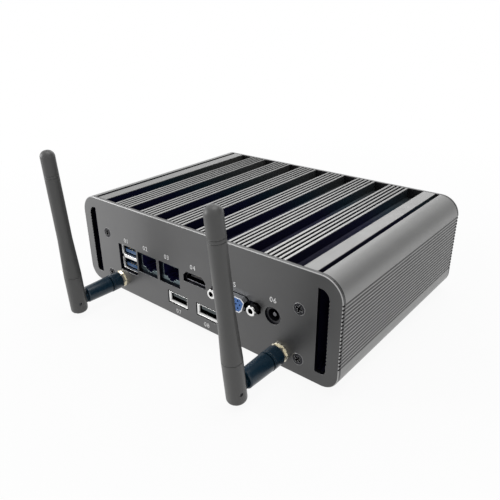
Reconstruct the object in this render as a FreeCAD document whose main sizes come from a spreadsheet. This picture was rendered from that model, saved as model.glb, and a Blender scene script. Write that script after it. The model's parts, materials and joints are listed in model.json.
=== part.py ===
import FreeCAD, Part
import math
import operator
import os
from types import SimpleNamespace

import Sketcher
from FreeCAD import Placement, Rotation, Vector

# Fanless industrial computer: an extruded aluminium housing whose roof is the
# heat sink, two end plates, a base plate, the boards inside, and two jointed
# antennas on the input/output plate.
#
# Cutting tools run 1 mm past the faces that they open.
#
# Frame, in millimetres: the origin is the centre of the four-hole mounting
# pattern on the underside of the base plate. +X is to the right of someone who
# faces the input/output plate, +Y points from that plate to the rear plate,
# +Z is up.

SIZES = [
    # Housing
    ("case_width", 178.0, "width over the side walls"),
    ("case_height", 55.0, "height of the housing"),
    ("case_depth", 126.0, "depth over both end plates"),
    ("plate_thickness", 2.0, "end plates and base plate"),
    ("top_corner", 11.0, "radius of the long upper corners"),
    ("low_corner", 8.5, "radius of the long lower corners"),
    ("roof_z", 46.0, "underside of the roof"),
    ("web_x", 73.0, "inner face of the web between cavity and air duct"),
    ("duct_inner_x", 75.5, "inner wall of the air duct"),
    ("duct_outer_x", 86.0, "outer wall of the air duct"),
    ("duct_floor_z", 4.0, "bottom of the air duct"),
    ("duct_top_z", 50.0, "top of the air duct"),
    ("ledge_x", 63.0, "inner edge of the ledge above the base plate"),
    ("ledge_top_z", 5.2, "top of that ledge"),
    ("recess_x", 70.0, "edge of the recess that takes the base plate"),
    # Heat sink on the roof
    ("channel_pitch", 21.2, "from one wide channel to the next"),
    ("channel_width", 9.3, "wide channel"),
    ("channel_depth", 6.0, "wide channel"),
    ("channel_foot", 0.7, "bevel at the foot of a channel wall"),
    ("fin_pitch", 2.6, "from one fin to the next"),
    ("fin_gap", 1.4, "gap between two fins"),
    ("fin_gap_depth", 4.5, "gap between two fins"),
    ("edge_groove_x", 75.1, "inner wall of the groove along each roof edge"),
    ("edge_groove_width", 2.55, "groove along each roof edge"),
    ("edge_groove_depth", 2.5, "groove along each roof edge"),
    ("rib_pitch", 1.85, "from one side groove to the next"),
    ("rib_groove", 1.15, "width of a side groove"),
    ("rib_depth", 0.55, "depth of a side groove"),
    ("rib_first_z", 11.9, "lowest side groove"),
    ("rib_overrun", 0.02, "side groove beyond the face it opens"),
    ("plate_bevel", 0.33, "bevel around the outer face of an end plate"),
    ("plate_play", 0.1, "room between a plate and what fills its cut-out"),
    # Screws
    ("port_x", 68.0, "screw ports of the end plates, from the middle"),
    ("port_low_z", 8.6, "lower screw ports"),
    ("port_high_z", 34.9, "upper screw ports"),
    ("port_half", 3.4, "half the width of a screw port's wall"),
    ("screw_radius", 1.5, "M3 shank"),
    ("screw_hole", 1.55, "hole that takes an M3 shank"),
    ("screw_head", 3.0, "countersunk M3 head"),
    ("pan_head", 2.75, "pan head of a board screw"),
    ("pan_height", 2.0, "pan head of a board screw"),
    ("cross_reach", 1.9, "cross recess, from its middle to the end of an arm"),
    ("cross_half", 0.5, "half the width of an arm of the recess"),
    ("cross_depth", 0.9, "cross recess"),
    ("plate_screw_length", 8.0, "end plate screws"),
    ("board_screw_length", 5.0, "board screws"),
    ("base_screw_length", 5.0, "base plate and drive screws"),
    ("base_screw_x", 66.0, "base plate screws, from the middle"),
    ("base_screw_y", 54.0, "outer base plate screws, from the middle"),
    # Air slots in the end plates
    ("slot_inner_x", 77.0, "inner edge"),
    ("slot_outer_x", 82.6, "outer edge"),
    ("slot_low_z", 6.4, "bottom edge"),
    ("slot_high_z", 48.6, "top edge"),
    ("slot_top_radius", 4.3, "upper outer corner"),
    ("slot_low_radius", 2.1, "lower outer corner"),
    ("slot_inner_radius", 0.8, "lower inner corner"),
    # Base plate
    ("base_half_x", 69.8, "half the width of the base plate"),
    ("mount_pitch", 100.0, "square pattern of the M4 mounting holes"),
    ("mount_hole", 2.0, "radius of an M4 mounting thread"),
    ("mount_boss", 3.6, "radius of the boss around a mounting thread"),
    ("mount_length", 4.0, "length of a mounting thread"),
    ("foot_x", 59.0, "feet, from the middle"),
    ("foot_y", 38.0, "feet, from the middle"),
    ("foot_radius", 5.0, "rubber foot"),
    ("foot_height", 2.5, "rubber foot"),
    # Main board and what it carries
    ("board_low_z", 31.0, "underside of the main board"),
    ("board_thickness", 1.6, "both boards"),
    ("board_half_x", 63.5, "half the width of the main board"),
    ("board_front_y", -59.8, "front edge of the main board"),
    ("board_rear_y", 48.5, "rear edge of the main board"),
    ("post_x", 57.0, "board posts, from the middle"),
    ("post_front_y", -28.0, "front board posts"),
    ("post_rear_y", 44.0, "rear board posts"),
    ("post_flat", 5.0, "across the flats of a post"),
    ("post_thread", 4.5, "depth of the thread in a post"),
    ("stud_depth", 2.5, "depth of a stud or screw in the roof"),
    ("chip_half", 18.75, "half the side of the processor"),
    ("chip_y", 3.0, "centre of the processor"),
    ("chip_height", 2.4, "processor above the board"),
    ("carrier_height", 1.2, "the processor's carrier"),
    ("lid_half", 14.0, "half the side of the processor's lid"),
    ("pad_half", 15.0, "half the side of the thermal pad"),
    ("pad_thickness", 0.5, "thermal pad"),
    ("block_half", 25.0, "half the side of the heat block"),
    ("block_screw", 20.0, "heat block screws, from its centre"),
    ("block_seat", 2.2, "depth of a screw's seat in the block"),
    ("cell_x", -50.0, "centre of the coin cell"),
    ("cell_y", 26.0, "centre of the coin cell"),
    ("cell_radius", 10.0, "coin cell"),
    ("cell_height", 3.2, "coin cell"),
    ("cell_roof", 0.9, "web of its holder against the board"),
    ("holder_half", 12.0, "half the side of the coin cell's holder"),
    ("holder_height", 4.6, "coin cell's holder"),
    ("drive_half_x", 34.925, "half the width of the storage drive"),
    ("drive_front_y", -40.0, "front end of the storage drive"),
    ("drive_length", 100.0, "length of the storage drive"),
    ("drive_height", 7.0, "height of the storage drive"),
    ("drive_screw_x", 30.86, "drive screws, from the middle"),
    ("drive_screw_first", 14.0, "first pair of drive screws from the front end"),
    ("drive_screw_pitch", 76.6, "from the first pair to the second"),
    ("daughter_top_z", 7.9, "upper face of the daughter board"),
    ("daughter_left_x", -24.0, "left edge of the daughter board"),
    ("daughter_right_x", 25.4, "right edge of the daughter board"),
    ("daughter_rear_y", -44.0, "rear edge of the daughter board"),
    ("daughter_post_y", -48.0, "posts of the daughter board"),
    ("daughter_post_inset", 3.5, "its posts, from its side edges"),
    ("low_post_floor", 0.6, "metal below the thread in such a post"),
    # Sockets
    ("gap", 0.2, "play of a socket in its cut-out"),
    ("sheet_metal", 0.45, "wall of a socket's shell"),
    ("stack_left_x", -58.4, "cut-out of the double socket"),
    ("stack_right_x", -42.8, "cut-out of the double socket"),
    ("stack_low_z", 14.2, "cut-out of the double socket"),
    ("stack_depth", 17.0, "length of the double socket"),
    ("stack_divider", 1.4, "half the height of its divider"),
    ("socket_setback", 1.6, "shells on the main board behind the plate face"),
    ("shell_back", 2.0, "closed end of a socket"),
    ("floor_depth", 3.0, "moulding at the back of a USB socket"),
    ("tab_width", 2.0, "solder tab"),
    ("tab_setback", 6.0, "solder tabs behind the mouth"),
    ("lip_depth", 1.2, "flared lips of a USB mouth"),
    ("tongue_inset", 1.1, "tongue of a socket, from its side walls"),
    ("tongue_thickness", 1.9, "tongue of a USB socket"),
    ("tongue_shift", 0.3, "tongue of the double socket, from the middle of its room"),
    ("tongue_setback", 1.3, "tongue behind the mouth"),
    ("lan_width", 16.0, "cut-out of a network socket"),
    ("lan_low_z", 18.0, "cut-out of a network socket"),
    ("lan_high_z", 30.4, "cut-out of a network socket"),
    ("lan_first_x", -15.7, "centre of network socket 1"),
    ("lan_second_x", -33.6, "centre of network socket 2"),
    ("lan_depth", 19.0, "length of a network socket"),
    ("lan_well", 13.0, "depth of the room for a network plug"),
    ("video_left_x", -4.6, "cut-out of the video socket"),
    ("video_right_x", 11.4, "cut-out of the video socket"),
    ("video_low_z", 24.4, "cut-out of the video socket"),
    ("video_high_z", 30.4, "cut-out of the video socket"),
    ("video_bevel", 2.4, "bevel at its upper corners"),
    ("video_play", 0.55, "room around its shell"),
    ("video_depth", 11.0, "length of the video socket"),
    ("single_width", 13.2, "shell of a single socket"),
    ("single_height", 5.5, "shell of a single socket"),
    ("single_lip", 0.5, "its flared lips beyond the shell"),
    ("single_play", 0.6, "room around its lips"),
    ("single_left_x", -10.1, "centre of the left single socket"),
    ("single_right_x", 11.5, "centre of the right single socket"),
    ("single_depth", 14.0, "length of a single socket"),
    ("vga_x", 31.3, "centre of the D-shaped socket"),
    ("vga_z", 26.2, "centre of the D-shaped socket"),
    ("vga_half_top", 8.15, "half the width of its upper edge"),
    ("vga_half_low", 6.8, "half the width of its lower edge"),
    ("vga_half_height", 4.0, "half its height"),
    ("vga_out", 3.4, "its rim in front of the plate"),
    ("vga_corner", 1.6, "bevel at its corners"),
    ("vga_depth", 13.0, "its length behind the plate"),
    ("flange_thickness", 1.0, "its flange behind the plate"),
    ("flange_half_x", 15.4, "half the width of its flange"),
    ("flange_half_z", 5.6, "half the height of its flange"),
    ("vga_case_half", 8.9, "half the width of its case behind the flange"),
    ("pin_pitch", 2.29, "from one pin hole to the next"),
    ("row_pitch", 1.98, "from one row of pin holes to the next"),
    ("pin_hole", 0.5, "radius of a pin hole"),
    ("pin_hole_depth", 5.0, "pin hole behind the rim"),
    ("ear_corner", 1.3, "bevel at the corners of its cut-out"),
    ("ear_half_width", 15.6, "its cut-out with the ears, from the middle"),
    ("ear_half_height", 3.0, "half the height of an ear"),
    ("jack_screw_pitch", 24.99, "from one jack screw to the other"),
    ("jack_screw_out", 4.0, "jack screw in front of the plate"),
    ("jack_screw_flat", 4.75, "across the flats of a jack screw"),
    ("jack_screw_face", 0.6, "its turned face, in front of the hexagon"),
    ("jack_screw_bore", 1.42, "radius of its thread"),
    ("jack_screw_thread", 5.0, "depth of its thread and length of its stud"),
    ("power_x", 53.75, "centre of the power socket"),
    ("power_z", 25.9, "centre of the power socket"),
    ("power_radius", 4.4, "nose of the power socket"),
    ("power_bore", 3.2, "bore of the power socket"),
    ("power_pin", 1.0, "pin of the power socket"),
    ("power_setback", 1.0, "its nose behind the plate face"),
    ("power_pin_setback", 1.6, "its pin behind the plate face"),
    ("power_well", 10.5, "depth of its bore behind the plate face"),
    ("power_length", 14.0, "its back end behind the plate face"),
    # Power button in the rear plate
    ("button_x", 50.0, "centre"),
    ("button_z", 27.0, "centre"),
    ("button_flange", 8.0, "radius of the flange"),
    ("button_barrel", 6.0, "radius of the barrel"),
    ("button_bore", 4.6, "radius of the bore"),
    ("button_cap", 4.3, "radius of the cap"),
    ("button_out", 2.0, "cap beyond the plate face"),
    ("button_flange_out", 1.2, "flange beyond the plate face"),
    ("button_length", 13.0, "barrel behind the plate face"),
    ("button_room", 11.0, "depth of the bore behind the plate face"),
    ("button_cap_inner", 9.0, "cap behind the plate face"),
    ("button_nut_flat", 15.0, "across the flats of the nut"),
    ("button_nut_height", 2.5, "nut behind the plate"),
    # Antennas
    ("antenna_x", 58.2, "axis of an antenna's base, from the middle"),
    ("antenna_z", 8.0, "axis of an antenna's base"),
    ("jack_radius", 3.1, "threaded barrel of the antenna jack"),
    ("jack_out", 6.2, "barrel in front of the plate"),
    ("jack_flange", 2.0, "hexagon of the jack behind the plate"),
    ("jack_tail", 2.2, "radius of the jack's tail"),
    ("jack_tail_end", 8.0, "end of the tail behind the plate"),
    ("jack_well", 1.6, "radius of the jack's mouth"),
    ("jack_well_depth", 4.5, "depth of the jack's mouth"),
    ("washer_radius", 4.95, "toothed washer"),
    ("tooth_gap", 0.35, "radius of the gap between two teeth"),
    ("washer_thickness", 0.8, "washer"),
    ("nut_flat", 8.0, "across the flats of the nut"),
    ("nut_thickness", 2.0, "nut"),
    ("coupling_radius", 4.95, "screwed coupling"),
    ("coupling_start", 3.0, "its near end, in front of the plate"),
    ("coupling_end", 9.7, "its far end, in front of the plate"),
    ("coupling_ring", 0.9, "its ring, from the far end"),
    ("spigot_radius", 2.6, "spigot on which the arm turns"),
    ("thread_play", 0.02, "play of a screwed joint"),
    ("running_play", 0.05, "play around a spigot or a hinge pin"),
    ("body_play", 0.3, "room between two parts that move past each other"),
    ("arm_radius", 4.8, "arm next to the coupling"),
    ("arm_end_radius", 4.5, "arm at its shoulder"),
    ("arm_edge", 0.5, "bevel at both ends of the arm"),
    ("shoulder_out", 26.1, "end of the arm's round part"),
    ("elbow_out", 31.5, "where the axes of arm and blade meet, in front of the plate"),
    ("hinge_offset", 1.3, "hinge pin in front of and below that point"),
    ("tongue_half", 2.0, "half the thickness of the arm's tongue"),
    ("tongue_radius", 2.3, "rounded end of the tongue"),
    ("pin_radius", 0.9, "hinge pin"),
    ("pin_cover", 0.6, "ends of the pin inside the blade's widest radius"),
    ("blade_low_radius", 4.7, "blade up to its collar ring"),
    ("blade_waist_radius", 3.85, "blade at the end of its taper"),
    ("blade_tip_radius", 3.7, "blade at the tip"),
    ("blade_below", 7.7, "blade below the arm's axis"),
    ("blade_above", 85.0, "blade above the arm's axis"),
    ("blade_foot", 1.8, "rounding of its lower end"),
    ("blade_swing", 6.4, "its heel around the hinge pin"),
    ("blade_ring", 14.8, "collar ring above the arm's axis"),
    ("blade_waist", 37.0, "end of the taper above the arm's axis"),
    ("tip_ring", 14.0, "lower ring below the tip"),
    ("tip_ring_pitch", 1.5, "from the lower to the upper ring"),
    ("ring_width", 0.4, "all rings"),
    ("ring_depth", 0.25, "all rings"),
    ("tilt_left", 2.5, "lean of the left blade, degrees"),
    ("tilt_right", 6.5, "lean of the right blade, degrees"),
    ("lead_radius", 0.7, "antenna lead"),
    ("nub_drop", 4.1, "lead sockets of the radio card below the main board"),
]
CHANNELS = 7
FIN_GROUPS = 6
RIBS = 18
PIN_ROWS = {-1: -0.25, 0: 0.25, 1: -0.25}
WASHER_TEETH = 14
HEEL_STEPS = 8
SCREW_ANGLES = (8, 24, 40, 17, 62, 35, 12, 75)

# Pieces soldered to the boards: X and Y spans, and the Z span from the board's face.
TOP_BLOCKS = {
    "chipset": ((30, 46), (8, 24), (0, 2)),
    "coil_1": ((-26, -19), (-42, -35), (0, 4.2)),
    "coil_2": ((-17, -10), (-42, -35), (0, 4.2)),
    "coil_3": ((-8, -1), (-42, -35), (0, 4.2)),
    "coil_4": ((1, 8), (-42, -35), (0, 4.2)),
    "coil_5": ((10, 17), (-42, -35), (0, 4.2)),
    "header": ((-46, -34), (30, 36), (0, 6)),
}
CAPACITORS = {"x": (32, 40, 48), "y": -42, "radius": 3.1, "height": 7.0}
MEMORY_SOCKET = {
    "memory_bar": ((-36, 36), (-38, -30), (-5.2, 0)),
    "memory_arm_left": ((-36, -34.4), (-31, -2), (-4.6, 0)),
    "memory_arm_right": ((34.4, 36), (-31, -2), (-4.6, 0)),
}
MEMORY_MOUTH = {"memory_mouth": ((-34, 34), (-34, -29), (-3.75, -2.55))}
MEMORY_MODULE = {
    "memory_board": ((-33.8, 33.8), (-33.7, -3.7), (-3.65, -2.65)),
    "memory_chip_1": ((-31, -19), (-24, -12), (-4.65, -3.65)),
    "memory_chip_2": ((-15, -3), (-24, -12), (-4.65, -3.65)),
    "memory_chip_3": ((3, 15), (-24, -12), (-4.65, -3.65)),
    "memory_chip_4": ((19, 31), (-24, -12), (-4.65, -3.65)),
}
WIRELESS_SOCKET = {"wireless_bar": ((40, 62), (24, 30), (-4.2, 0))}
WIRELESS_MOUTH = {"wireless_mouth": ((39.9, 62.1), (23, 27.1), (-3.2, -2.2))}
WIRELESS_CARD = {
    "wireless_board": ((40, 62), (-3, 27), (-3.1, -2.3)),
    "wireless_shield": ((42, 60), (5, 21), (-4.5, -3.1)),
    "wireless_nub_left": ((43.8, 46.2), (-3, 0), (-5.1, -3.1)),
    "wireless_nub_right": ((55.8, 58.2), (-3, 0), (-5.1, -3.1)),
}
DRIVE_PLUG = {"drive_plug": ((-32, 1), (-41, -34), (1, 4))}

# Right half of a network socket's stepped mouth: distance from its middle, and
# height above the lower edge of the cut-out.
LAN_MOUTH = [(1.7, 1.4), (1.7, 2.5), (3.2, 2.5), (3.2, 3.6), (5.9, 3.6), (5.9, 10.9)]

# Routes of the antenna leads: end of the straight run from the jack, the points on
# the way, and the lead's place on the radio card.
LEADS = {
    "left": {
        "straight_to": -38,
        "way": [(-50, -22, 13), (-25, -13, 18), (2, -12, 19.5), (24, -17, 21), (40, -26, 24)],
        "nub": (45, (-14, -3)),
    },
    "right": {
        "straight_to": -41,
        "way": [(58.2, -29, 15)],
        "nub": (57, (-16, -3)),
    },
}
BEND_SHARE = 0.45
LEAST_BEND = 5.0


class Size:
    """A length with its value and the sheet formula that gives it."""

    def __init__(self, value, text):
        self.value = value
        self.text = text

    def __add__(self, other):
        return combine(self, "+", other)

    def __radd__(self, other):
        return combine(other, "+", self)

    def __sub__(self, other):
        return combine(self, "-", other)

    def __rsub__(self, other):
        return combine(other, "-", self)

    def __mul__(self, other):
        return combine(self, "*", other)

    def __rmul__(self, other):
        return combine(other, "*", self)

    def __truediv__(self, other):
        return combine(self, "/", other)

    def __neg__(self):
        return combine(0, "-", self)


OPERATIONS = {"+": operator.add, "-": operator.sub, "*": operator.mul, "/": operator.truediv}


def number(term):
    return term.value if isinstance(term, Size) else float(term)


def formula(term):
    return term.text if isinstance(term, Size) else f"({float(term)!r})"


def combine(first, sign, second):
    value = OPERATIONS[sign](number(first), number(second))
    return Size(value, f"({formula(first)} {sign} {formula(second)})")


doc = FreeCAD.newDocument("fanless_computer")
sheet = doc.addObject("Spreadsheet::Sheet", "sheet")
s = SimpleNamespace()
for row, (alias, value, note) in enumerate(SIZES, start=1):
    sheet.set(f"A{row}", alias)
    sheet.set(f"B{row}", str(value))
    sheet.set(f"C{row}", note)
    sheet.setAlias(f"B{row}", alias)
    setattr(s, alias, Size(value, f"sheet.{alias}"))
doc.recompute()

front_y = -s.case_depth / 2
rear_y = s.case_depth / 2
inner_front_y = front_y + s.plate_thickness
inner_rear_y = rear_y - s.plate_thickness
board_top_z = s.board_low_z + s.board_thickness
nodes = {}


# ---------------------------------------------------------------- document tools

def bind(thing, prop, term):
    """Tie one property to the sheet."""
    thing.setExpression(prop, formula(term))


def place(thing, x, y, z):
    for axis, term in zip("xyz", (x, y, z)):
        bind(thing, f"Placement.Base.{axis}", term)


def keep(name, thing):
    """Make an object the finished sub-part of that name."""
    thing.Label = name
    nodes[name] = thing
    return thing


def box(name, x, y, z):
    """A box between pairs of planes."""
    thing = doc.addObject("Part::Box", name)
    for prop, (low, high) in zip(("Length", "Width", "Height"), (x, y, z)):
        bind(thing, prop, high - low)
    place(thing, x[0], y[0], z[0])
    return thing


def blocks(table, face_z):
    """The boxes of a table, with their Z spans measured from a face."""
    return [box(name, x, y, (face_z + z[0], face_z + z[1])) for name, (x, y, z) in table.items()]


def funnel(name, mouth, throat, y):
    """A four-sided funnel along Y, from the X and Z spans of its mouth to those of its throat."""
    thing = doc.addObject("Part::Wedge", name)
    spans = {"Xm": mouth[0], "Zm": mouth[1], "X2m": throat[0], "Z2m": throat[1], "Ym": y}
    for stem, (low, high) in spans.items():
        bind(thing, stem + "in", low)
        bind(thing, stem + "ax", high)
    return thing


TURNS = {
    "x": Rotation(Vector(0, 1, 0), 90),
    "y": Rotation(Vector(1, 0, 0), -90),
    "z": Rotation(),
}


def upright(thing, axis, start, across):
    """Stand a primitive on an axis, from a start along it and two places across it."""
    thing.Placement = Placement(Vector(), TURNS[axis])
    where = list(across)
    where.insert("xyz".index(axis), start)
    place(thing, *where)
    return thing


def rod(name, radius, axis, span, across):
    """A cylinder along an axis."""
    thing = doc.addObject("Part::Cylinder", name)
    bind(thing, "Radius", radius)
    bind(thing, "Height", span[1] - span[0])
    return upright(thing, axis, span[0], across)


def hexagon(name, flats, axis, span, across):
    """A hexagonal bar along an axis, by its size across the flats."""
    thing = doc.addObject("Part::Prism", name)
    thing.Polygon = 6
    bind(thing, "Circumradius", flats / math.sqrt(3))
    bind(thing, "Height", span[1] - span[0])
    return upright(thing, axis, span[0], across)


def taper(name, radii, axis, span, across):
    """A cone frustum along an axis."""
    thing = doc.addObject("Part::Cone", name)
    bind(thing, "Radius1", radii[0])
    bind(thing, "Radius2", radii[1])
    bind(thing, "Height", span[1] - span[0])
    return upright(thing, axis, span[0], across)


def joined(name, things):
    if len(things) == 1:
        return things[0]
    thing = doc.addObject("Part::MultiFuse", name)
    thing.Shapes = things
    return thing


def cut(name, base, *tools):
    thing = doc.addObject("Part::Cut", name)
    thing.Base = base
    thing.Tool = joined(name + "_tools", list(tools))
    return thing


def new_body(name):
    return doc.addObject("PartDesign::Body", name)


def sketch(owner, name, role, offset=0):
    """A sketch on one of the body's own origin planes, moved along its normal."""
    drawing = owner.newObject("Sketcher::SketchObject", name)
    plane = next(item for item in owner.Origin.OriginFeatures if item.Role == role)
    drawing.AttachmentSupport = [(plane, "")]
    drawing.MapMode = "FlatFace"
    bind(drawing, "AttachmentOffset.Base.z", offset)
    return drawing


def hold(drawing, element, point, kind, axis, term):
    """Fix one coordinate of a sketch point."""
    if number(term) == 0:
        drawing.addConstraint(Sketcher.Constraint("PointOnObject", element, point, axis))
        return
    index = drawing.addConstraint(Sketcher.Constraint(kind, -1, 1, element, point, number(term)))
    bind(drawing, f"Constraints[{index}]", term)


def polygon(drawing, points):
    """A closed loop of straight edges with every corner tied to the sheet."""
    first = drawing.GeometryCount
    corners = [Vector(number(x), number(y), 0) for x, y in points]
    ends = corners[1:] + corners[:1]
    drawing.addGeometry([Part.LineSegment(a, b) for a, b in zip(corners, ends)], False)
    count = len(points)
    for index, (x, y) in enumerate(points):
        after = first + (index + 1) % count
        drawing.addConstraint(Sketcher.Constraint("Coincident", first + index, 2, after, 1))
        hold(drawing, first + index, 1, "DistanceX", -2, x)
        hold(drawing, first + index, 1, "DistanceY", -1, y)


def rectangle(drawing, x, y):
    polygon(drawing, [(x[0], y[0]), (x[1], y[0]), (x[1], y[1]), (x[0], y[1])])


def circle(drawing, x, y, radius):
    middle = Vector(number(x), number(y), 0)
    element = drawing.addGeometry(Part.Circle(middle, Vector(0, 0, 1), number(radius)), False)
    index = drawing.addConstraint(Sketcher.Constraint("Radius", element, number(radius)))
    bind(drawing, f"Constraints[{index}]", radius)
    hold(drawing, element, 3, "DistanceX", -2, x)
    hold(drawing, element, 3, "DistanceY", -1, y)


def both_sides(points):
    """Points of the right half of an outline, and their mirror images."""
    return points + [(-x, y) for x, y in reversed(points)]


def pad(owner, drawing, length, middle=False, reverse=False):
    feature = owner.newObject("PartDesign::Pad", drawing.Name + "_pad")
    feature.Profile = drawing
    feature.Midplane = middle
    feature.Reversed = reverse
    bind(feature, "Length", length)
    doc.recompute()
    return feature


def pocket(owner, drawing, length=None, reverse=False, middle=False):
    """Cut a sketch away, right through if no depth is given."""
    before = owner.Shape.Volume
    feature = owner.newObject("PartDesign::Pocket", drawing.Name + "_pocket")
    feature.Profile = drawing
    feature.Reversed = reverse
    feature.Midplane = middle or length is None
    if length is None:
        feature.Type = "ThroughAll"
    else:
        bind(feature, "Length", length)
    doc.recompute()
    if owner.Shape.Volume >= before:
        raise RuntimeError(f"{feature.Name} removes nothing")
    return feature


def repeat(owner, feature, drawing, axis, pitch, count):
    """Repeat a feature along an axis of its sketch."""
    pattern = owner.newObject("PartDesign::LinearPattern", feature.Name + "_row")
    pattern.Originals = [feature]
    pattern.Direction = (drawing, [axis])
    pattern.Occurrences = count
    bind(pattern, "Length", pitch * (count - 1))
    owner.Tip = pattern
    doc.recompute()
    return pattern


def edges_where(shape, test):
    """Names of the edges whose middle passes the test."""
    names = []
    for index, edge in enumerate(shape.Edges, start=1):
        if test(edge, edge.CenterOfMass):
            names.append(f"Edge{index}")
    return names


def long_edges_at(shape, x, z):
    """Straight edges along Y at the given places, on both sides."""
    def test(edge, middle):
        flat = edge.BoundBox.XLength < 0.01 and edge.BoundBox.ZLength < 0.01
        return flat and abs(abs(middle.x) - number(x)) < 0.01 and abs(middle.z - number(z)) < 0.01
    return edges_where(shape, test)


def soften(owner, kind, prop, names, amount):
    """Fillet or chamfer edges of the body's last feature."""
    if not names:
        raise RuntimeError(f"{owner.Name}: no edge to soften")
    base = owner.Tip
    feature = owner.newObject(kind, owner.Name + "_" + prop.lower())
    feature.Base = (base, names)
    bind(feature, prop, amount)
    doc.recompute()
    return feature


def fillet(owner, names, radius):
    return soften(owner, "PartDesign::Fillet", "Radius", names, radius)


def chamfer(owner, names, size):
    return soften(owner, "PartDesign::Chamfer", "Size", names, size)


def countersink(owner, at_face):
    """Sink the screw holes whose rims pass the test."""
    def rim(edge, middle):
        round_edge = edge.Curve.TypeId == "Part::GeomCircle"
        return round_edge and abs(edge.Curve.Radius - number(s.screw_hole)) < 0.01 and at_face(middle)
    chamfer(owner, edges_where(owner.Shape, rim), s.screw_head - s.screw_hole)


def copies(name, master, places):
    """Separate solids of one fastener, each at its own placement."""
    doc.recompute()
    shapes = []
    for spot in places:
        solid = master.Shape.copy()
        solid.Placement = spot.multiply(solid.Placement)
        shapes.append(solid)
    group = doc.addObject("Part::Feature", name)
    group.Shape = Part.makeCompound(shapes)
    return keep(name, group)


# ---------------------------------------------------------------- housing

def case_outline(owner, name, offset=0):
    drawing = sketch(owner, name, "XZ_Plane", offset)
    half = s.case_width / 2
    rectangle(drawing, (-half, half), (0, s.case_height))
    return drawing


def round_case_corners(owner):
    half = s.case_width / 2
    fillet(owner, long_edges_at(owner.Shape, half, s.case_height), s.top_corner)
    fillet(owner, long_edges_at(owner.Shape, half, 0), s.low_corner)


def rib_notches(owner, name, edges, offset=0):
    """Rows of V-shaped notches up both sides. An edge is its x and the way the notches point."""
    drawing = sketch(owner, name, "XZ_Plane", offset)
    low = s.rib_first_z
    middle = low + s.rib_groove / 2
    high = low + s.rib_groove
    for x, way in edges:
        for side in (-1, 1):
            root = (x - s.rib_overrun * way) * side
            polygon(drawing, [(root, low), (root, high), ((x + s.rib_depth * way) * side, middle)])
    feature = pocket(owner, drawing)
    repeat(owner, feature, drawing, "V_Axis", s.rib_pitch, RIBS)


def make_housing():
    owner = new_body("housing")
    length = s.case_depth - 2 * s.plate_thickness
    pad(owner, case_outline(owner, "housing_outline"), length, middle=True)
    round_case_corners(owner)

    cavity = sketch(owner, "cavity", "XZ_Plane")
    port_x = s.port_x - s.port_half
    polygon(cavity, both_sides([
        (s.recess_x, -1),
        (s.recess_x, s.plate_thickness),
        (s.ledge_x, s.plate_thickness),
        (s.ledge_x, s.ledge_top_z),
        (port_x, s.ledge_top_z),
        (port_x, s.port_low_z + s.port_half),
        (s.web_x, s.port_low_z + s.port_half),
        (s.web_x, s.port_high_z - s.port_half),
        (port_x, s.port_high_z - s.port_half),
        (port_x, s.port_high_z + s.port_half),
        (s.web_x, s.port_high_z + s.port_half),
        (s.web_x, s.roof_z),
    ]))
    pocket(owner, cavity)

    ducts = sketch(owner, "ducts", "XZ_Plane")
    for side in (-1, 1):
        rectangle(ducts, (s.duct_inner_x * side, s.duct_outer_x * side), (s.duct_floor_z, s.duct_top_z))
    pocket(owner, ducts)
    fillet(owner, long_edges_at(owner.Shape, s.duct_outer_x, s.duct_top_z), s.top_corner / 2)
    fillet(owner, long_edges_at(owner.Shape, s.duct_outer_x, s.duct_floor_z), s.low_corner / 2)

    edge_grooves = sketch(owner, "edge_grooves", "XZ_Plane")
    for side in (-1, 1):
        walls = (s.edge_groove_x * side, (s.edge_groove_x + s.edge_groove_width) * side)
        rectangle(edge_grooves, walls, (s.case_height - s.edge_groove_depth, s.case_height + 1))
    pocket(owner, edge_grooves)

    channel = sketch(owner, "channel", "XZ_Plane")
    middle = -s.channel_pitch * (CHANNELS - 1) / 2
    floor_z = s.case_height - s.channel_depth
    wall = s.channel_width / 2
    polygon(channel, [
        (middle - wall, s.case_height + 1),
        (middle - wall, floor_z + s.channel_foot),
        (middle - wall + s.channel_foot, floor_z),
        (middle + wall - s.channel_foot, floor_z),
        (middle + wall, floor_z + s.channel_foot),
        (middle + wall, s.case_height + 1),
    ])
    repeat(owner, pocket(owner, channel), channel, "H_Axis", s.channel_pitch, CHANNELS)

    fins = sketch(owner, "fins", "XZ_Plane")
    middle = -s.channel_pitch * (FIN_GROUPS - 1) / 2
    for step in (-1.5, -0.5, 0.5, 1.5):
        gap_x = middle + s.fin_pitch * step
        walls = (gap_x - s.fin_gap / 2, gap_x + s.fin_gap / 2)
        rectangle(fins, walls, (s.case_height - s.fin_gap_depth, s.case_height + 1))
    repeat(owner, pocket(owner, fins), fins, "H_Axis", s.channel_pitch, FIN_GROUPS)

    rib_notches(owner, "housing_ribs", [(s.case_width / 2, -1)])

    ports = sketch(owner, "screw_ports", "XZ_Plane")
    for side in (-1, 1):
        for port_z in (s.port_low_z, s.port_high_z):
            circle(ports, s.port_x * side, port_z, s.screw_hole)
    pocket(owner, ports)

    ledge_holes = sketch(owner, "ledge_holes", "XY_Plane")
    for x, y in base_screw_places():
        circle(ledge_holes, x, y, s.screw_hole)
    pocket(owner, ledge_holes, s.base_screw_length + s.gap, reverse=True)

    roof_holes = sketch(owner, "roof_holes", "XY_Plane", s.roof_z)
    for x, y in post_places() + block_screw_places():
        circle(roof_holes, x, y, s.screw_hole)
    pocket(owner, roof_holes, s.stud_depth + s.gap, reverse=True)
    keep("housing", owner)


def base_screw_places():
    rows = (-s.base_screw_y, 0, s.base_screw_y)
    return [(s.base_screw_x * side, y) for side in (-1, 1) for y in rows]


def post_places():
    return [(s.post_x * side, y) for side in (-1, 1) for y in (s.post_front_y, s.post_rear_y)]


def block_screw_places():
    return [(s.block_screw * a, s.chip_y + s.block_screw * b) for a in (-1, 1) for b in (-1, 1)]


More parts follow.
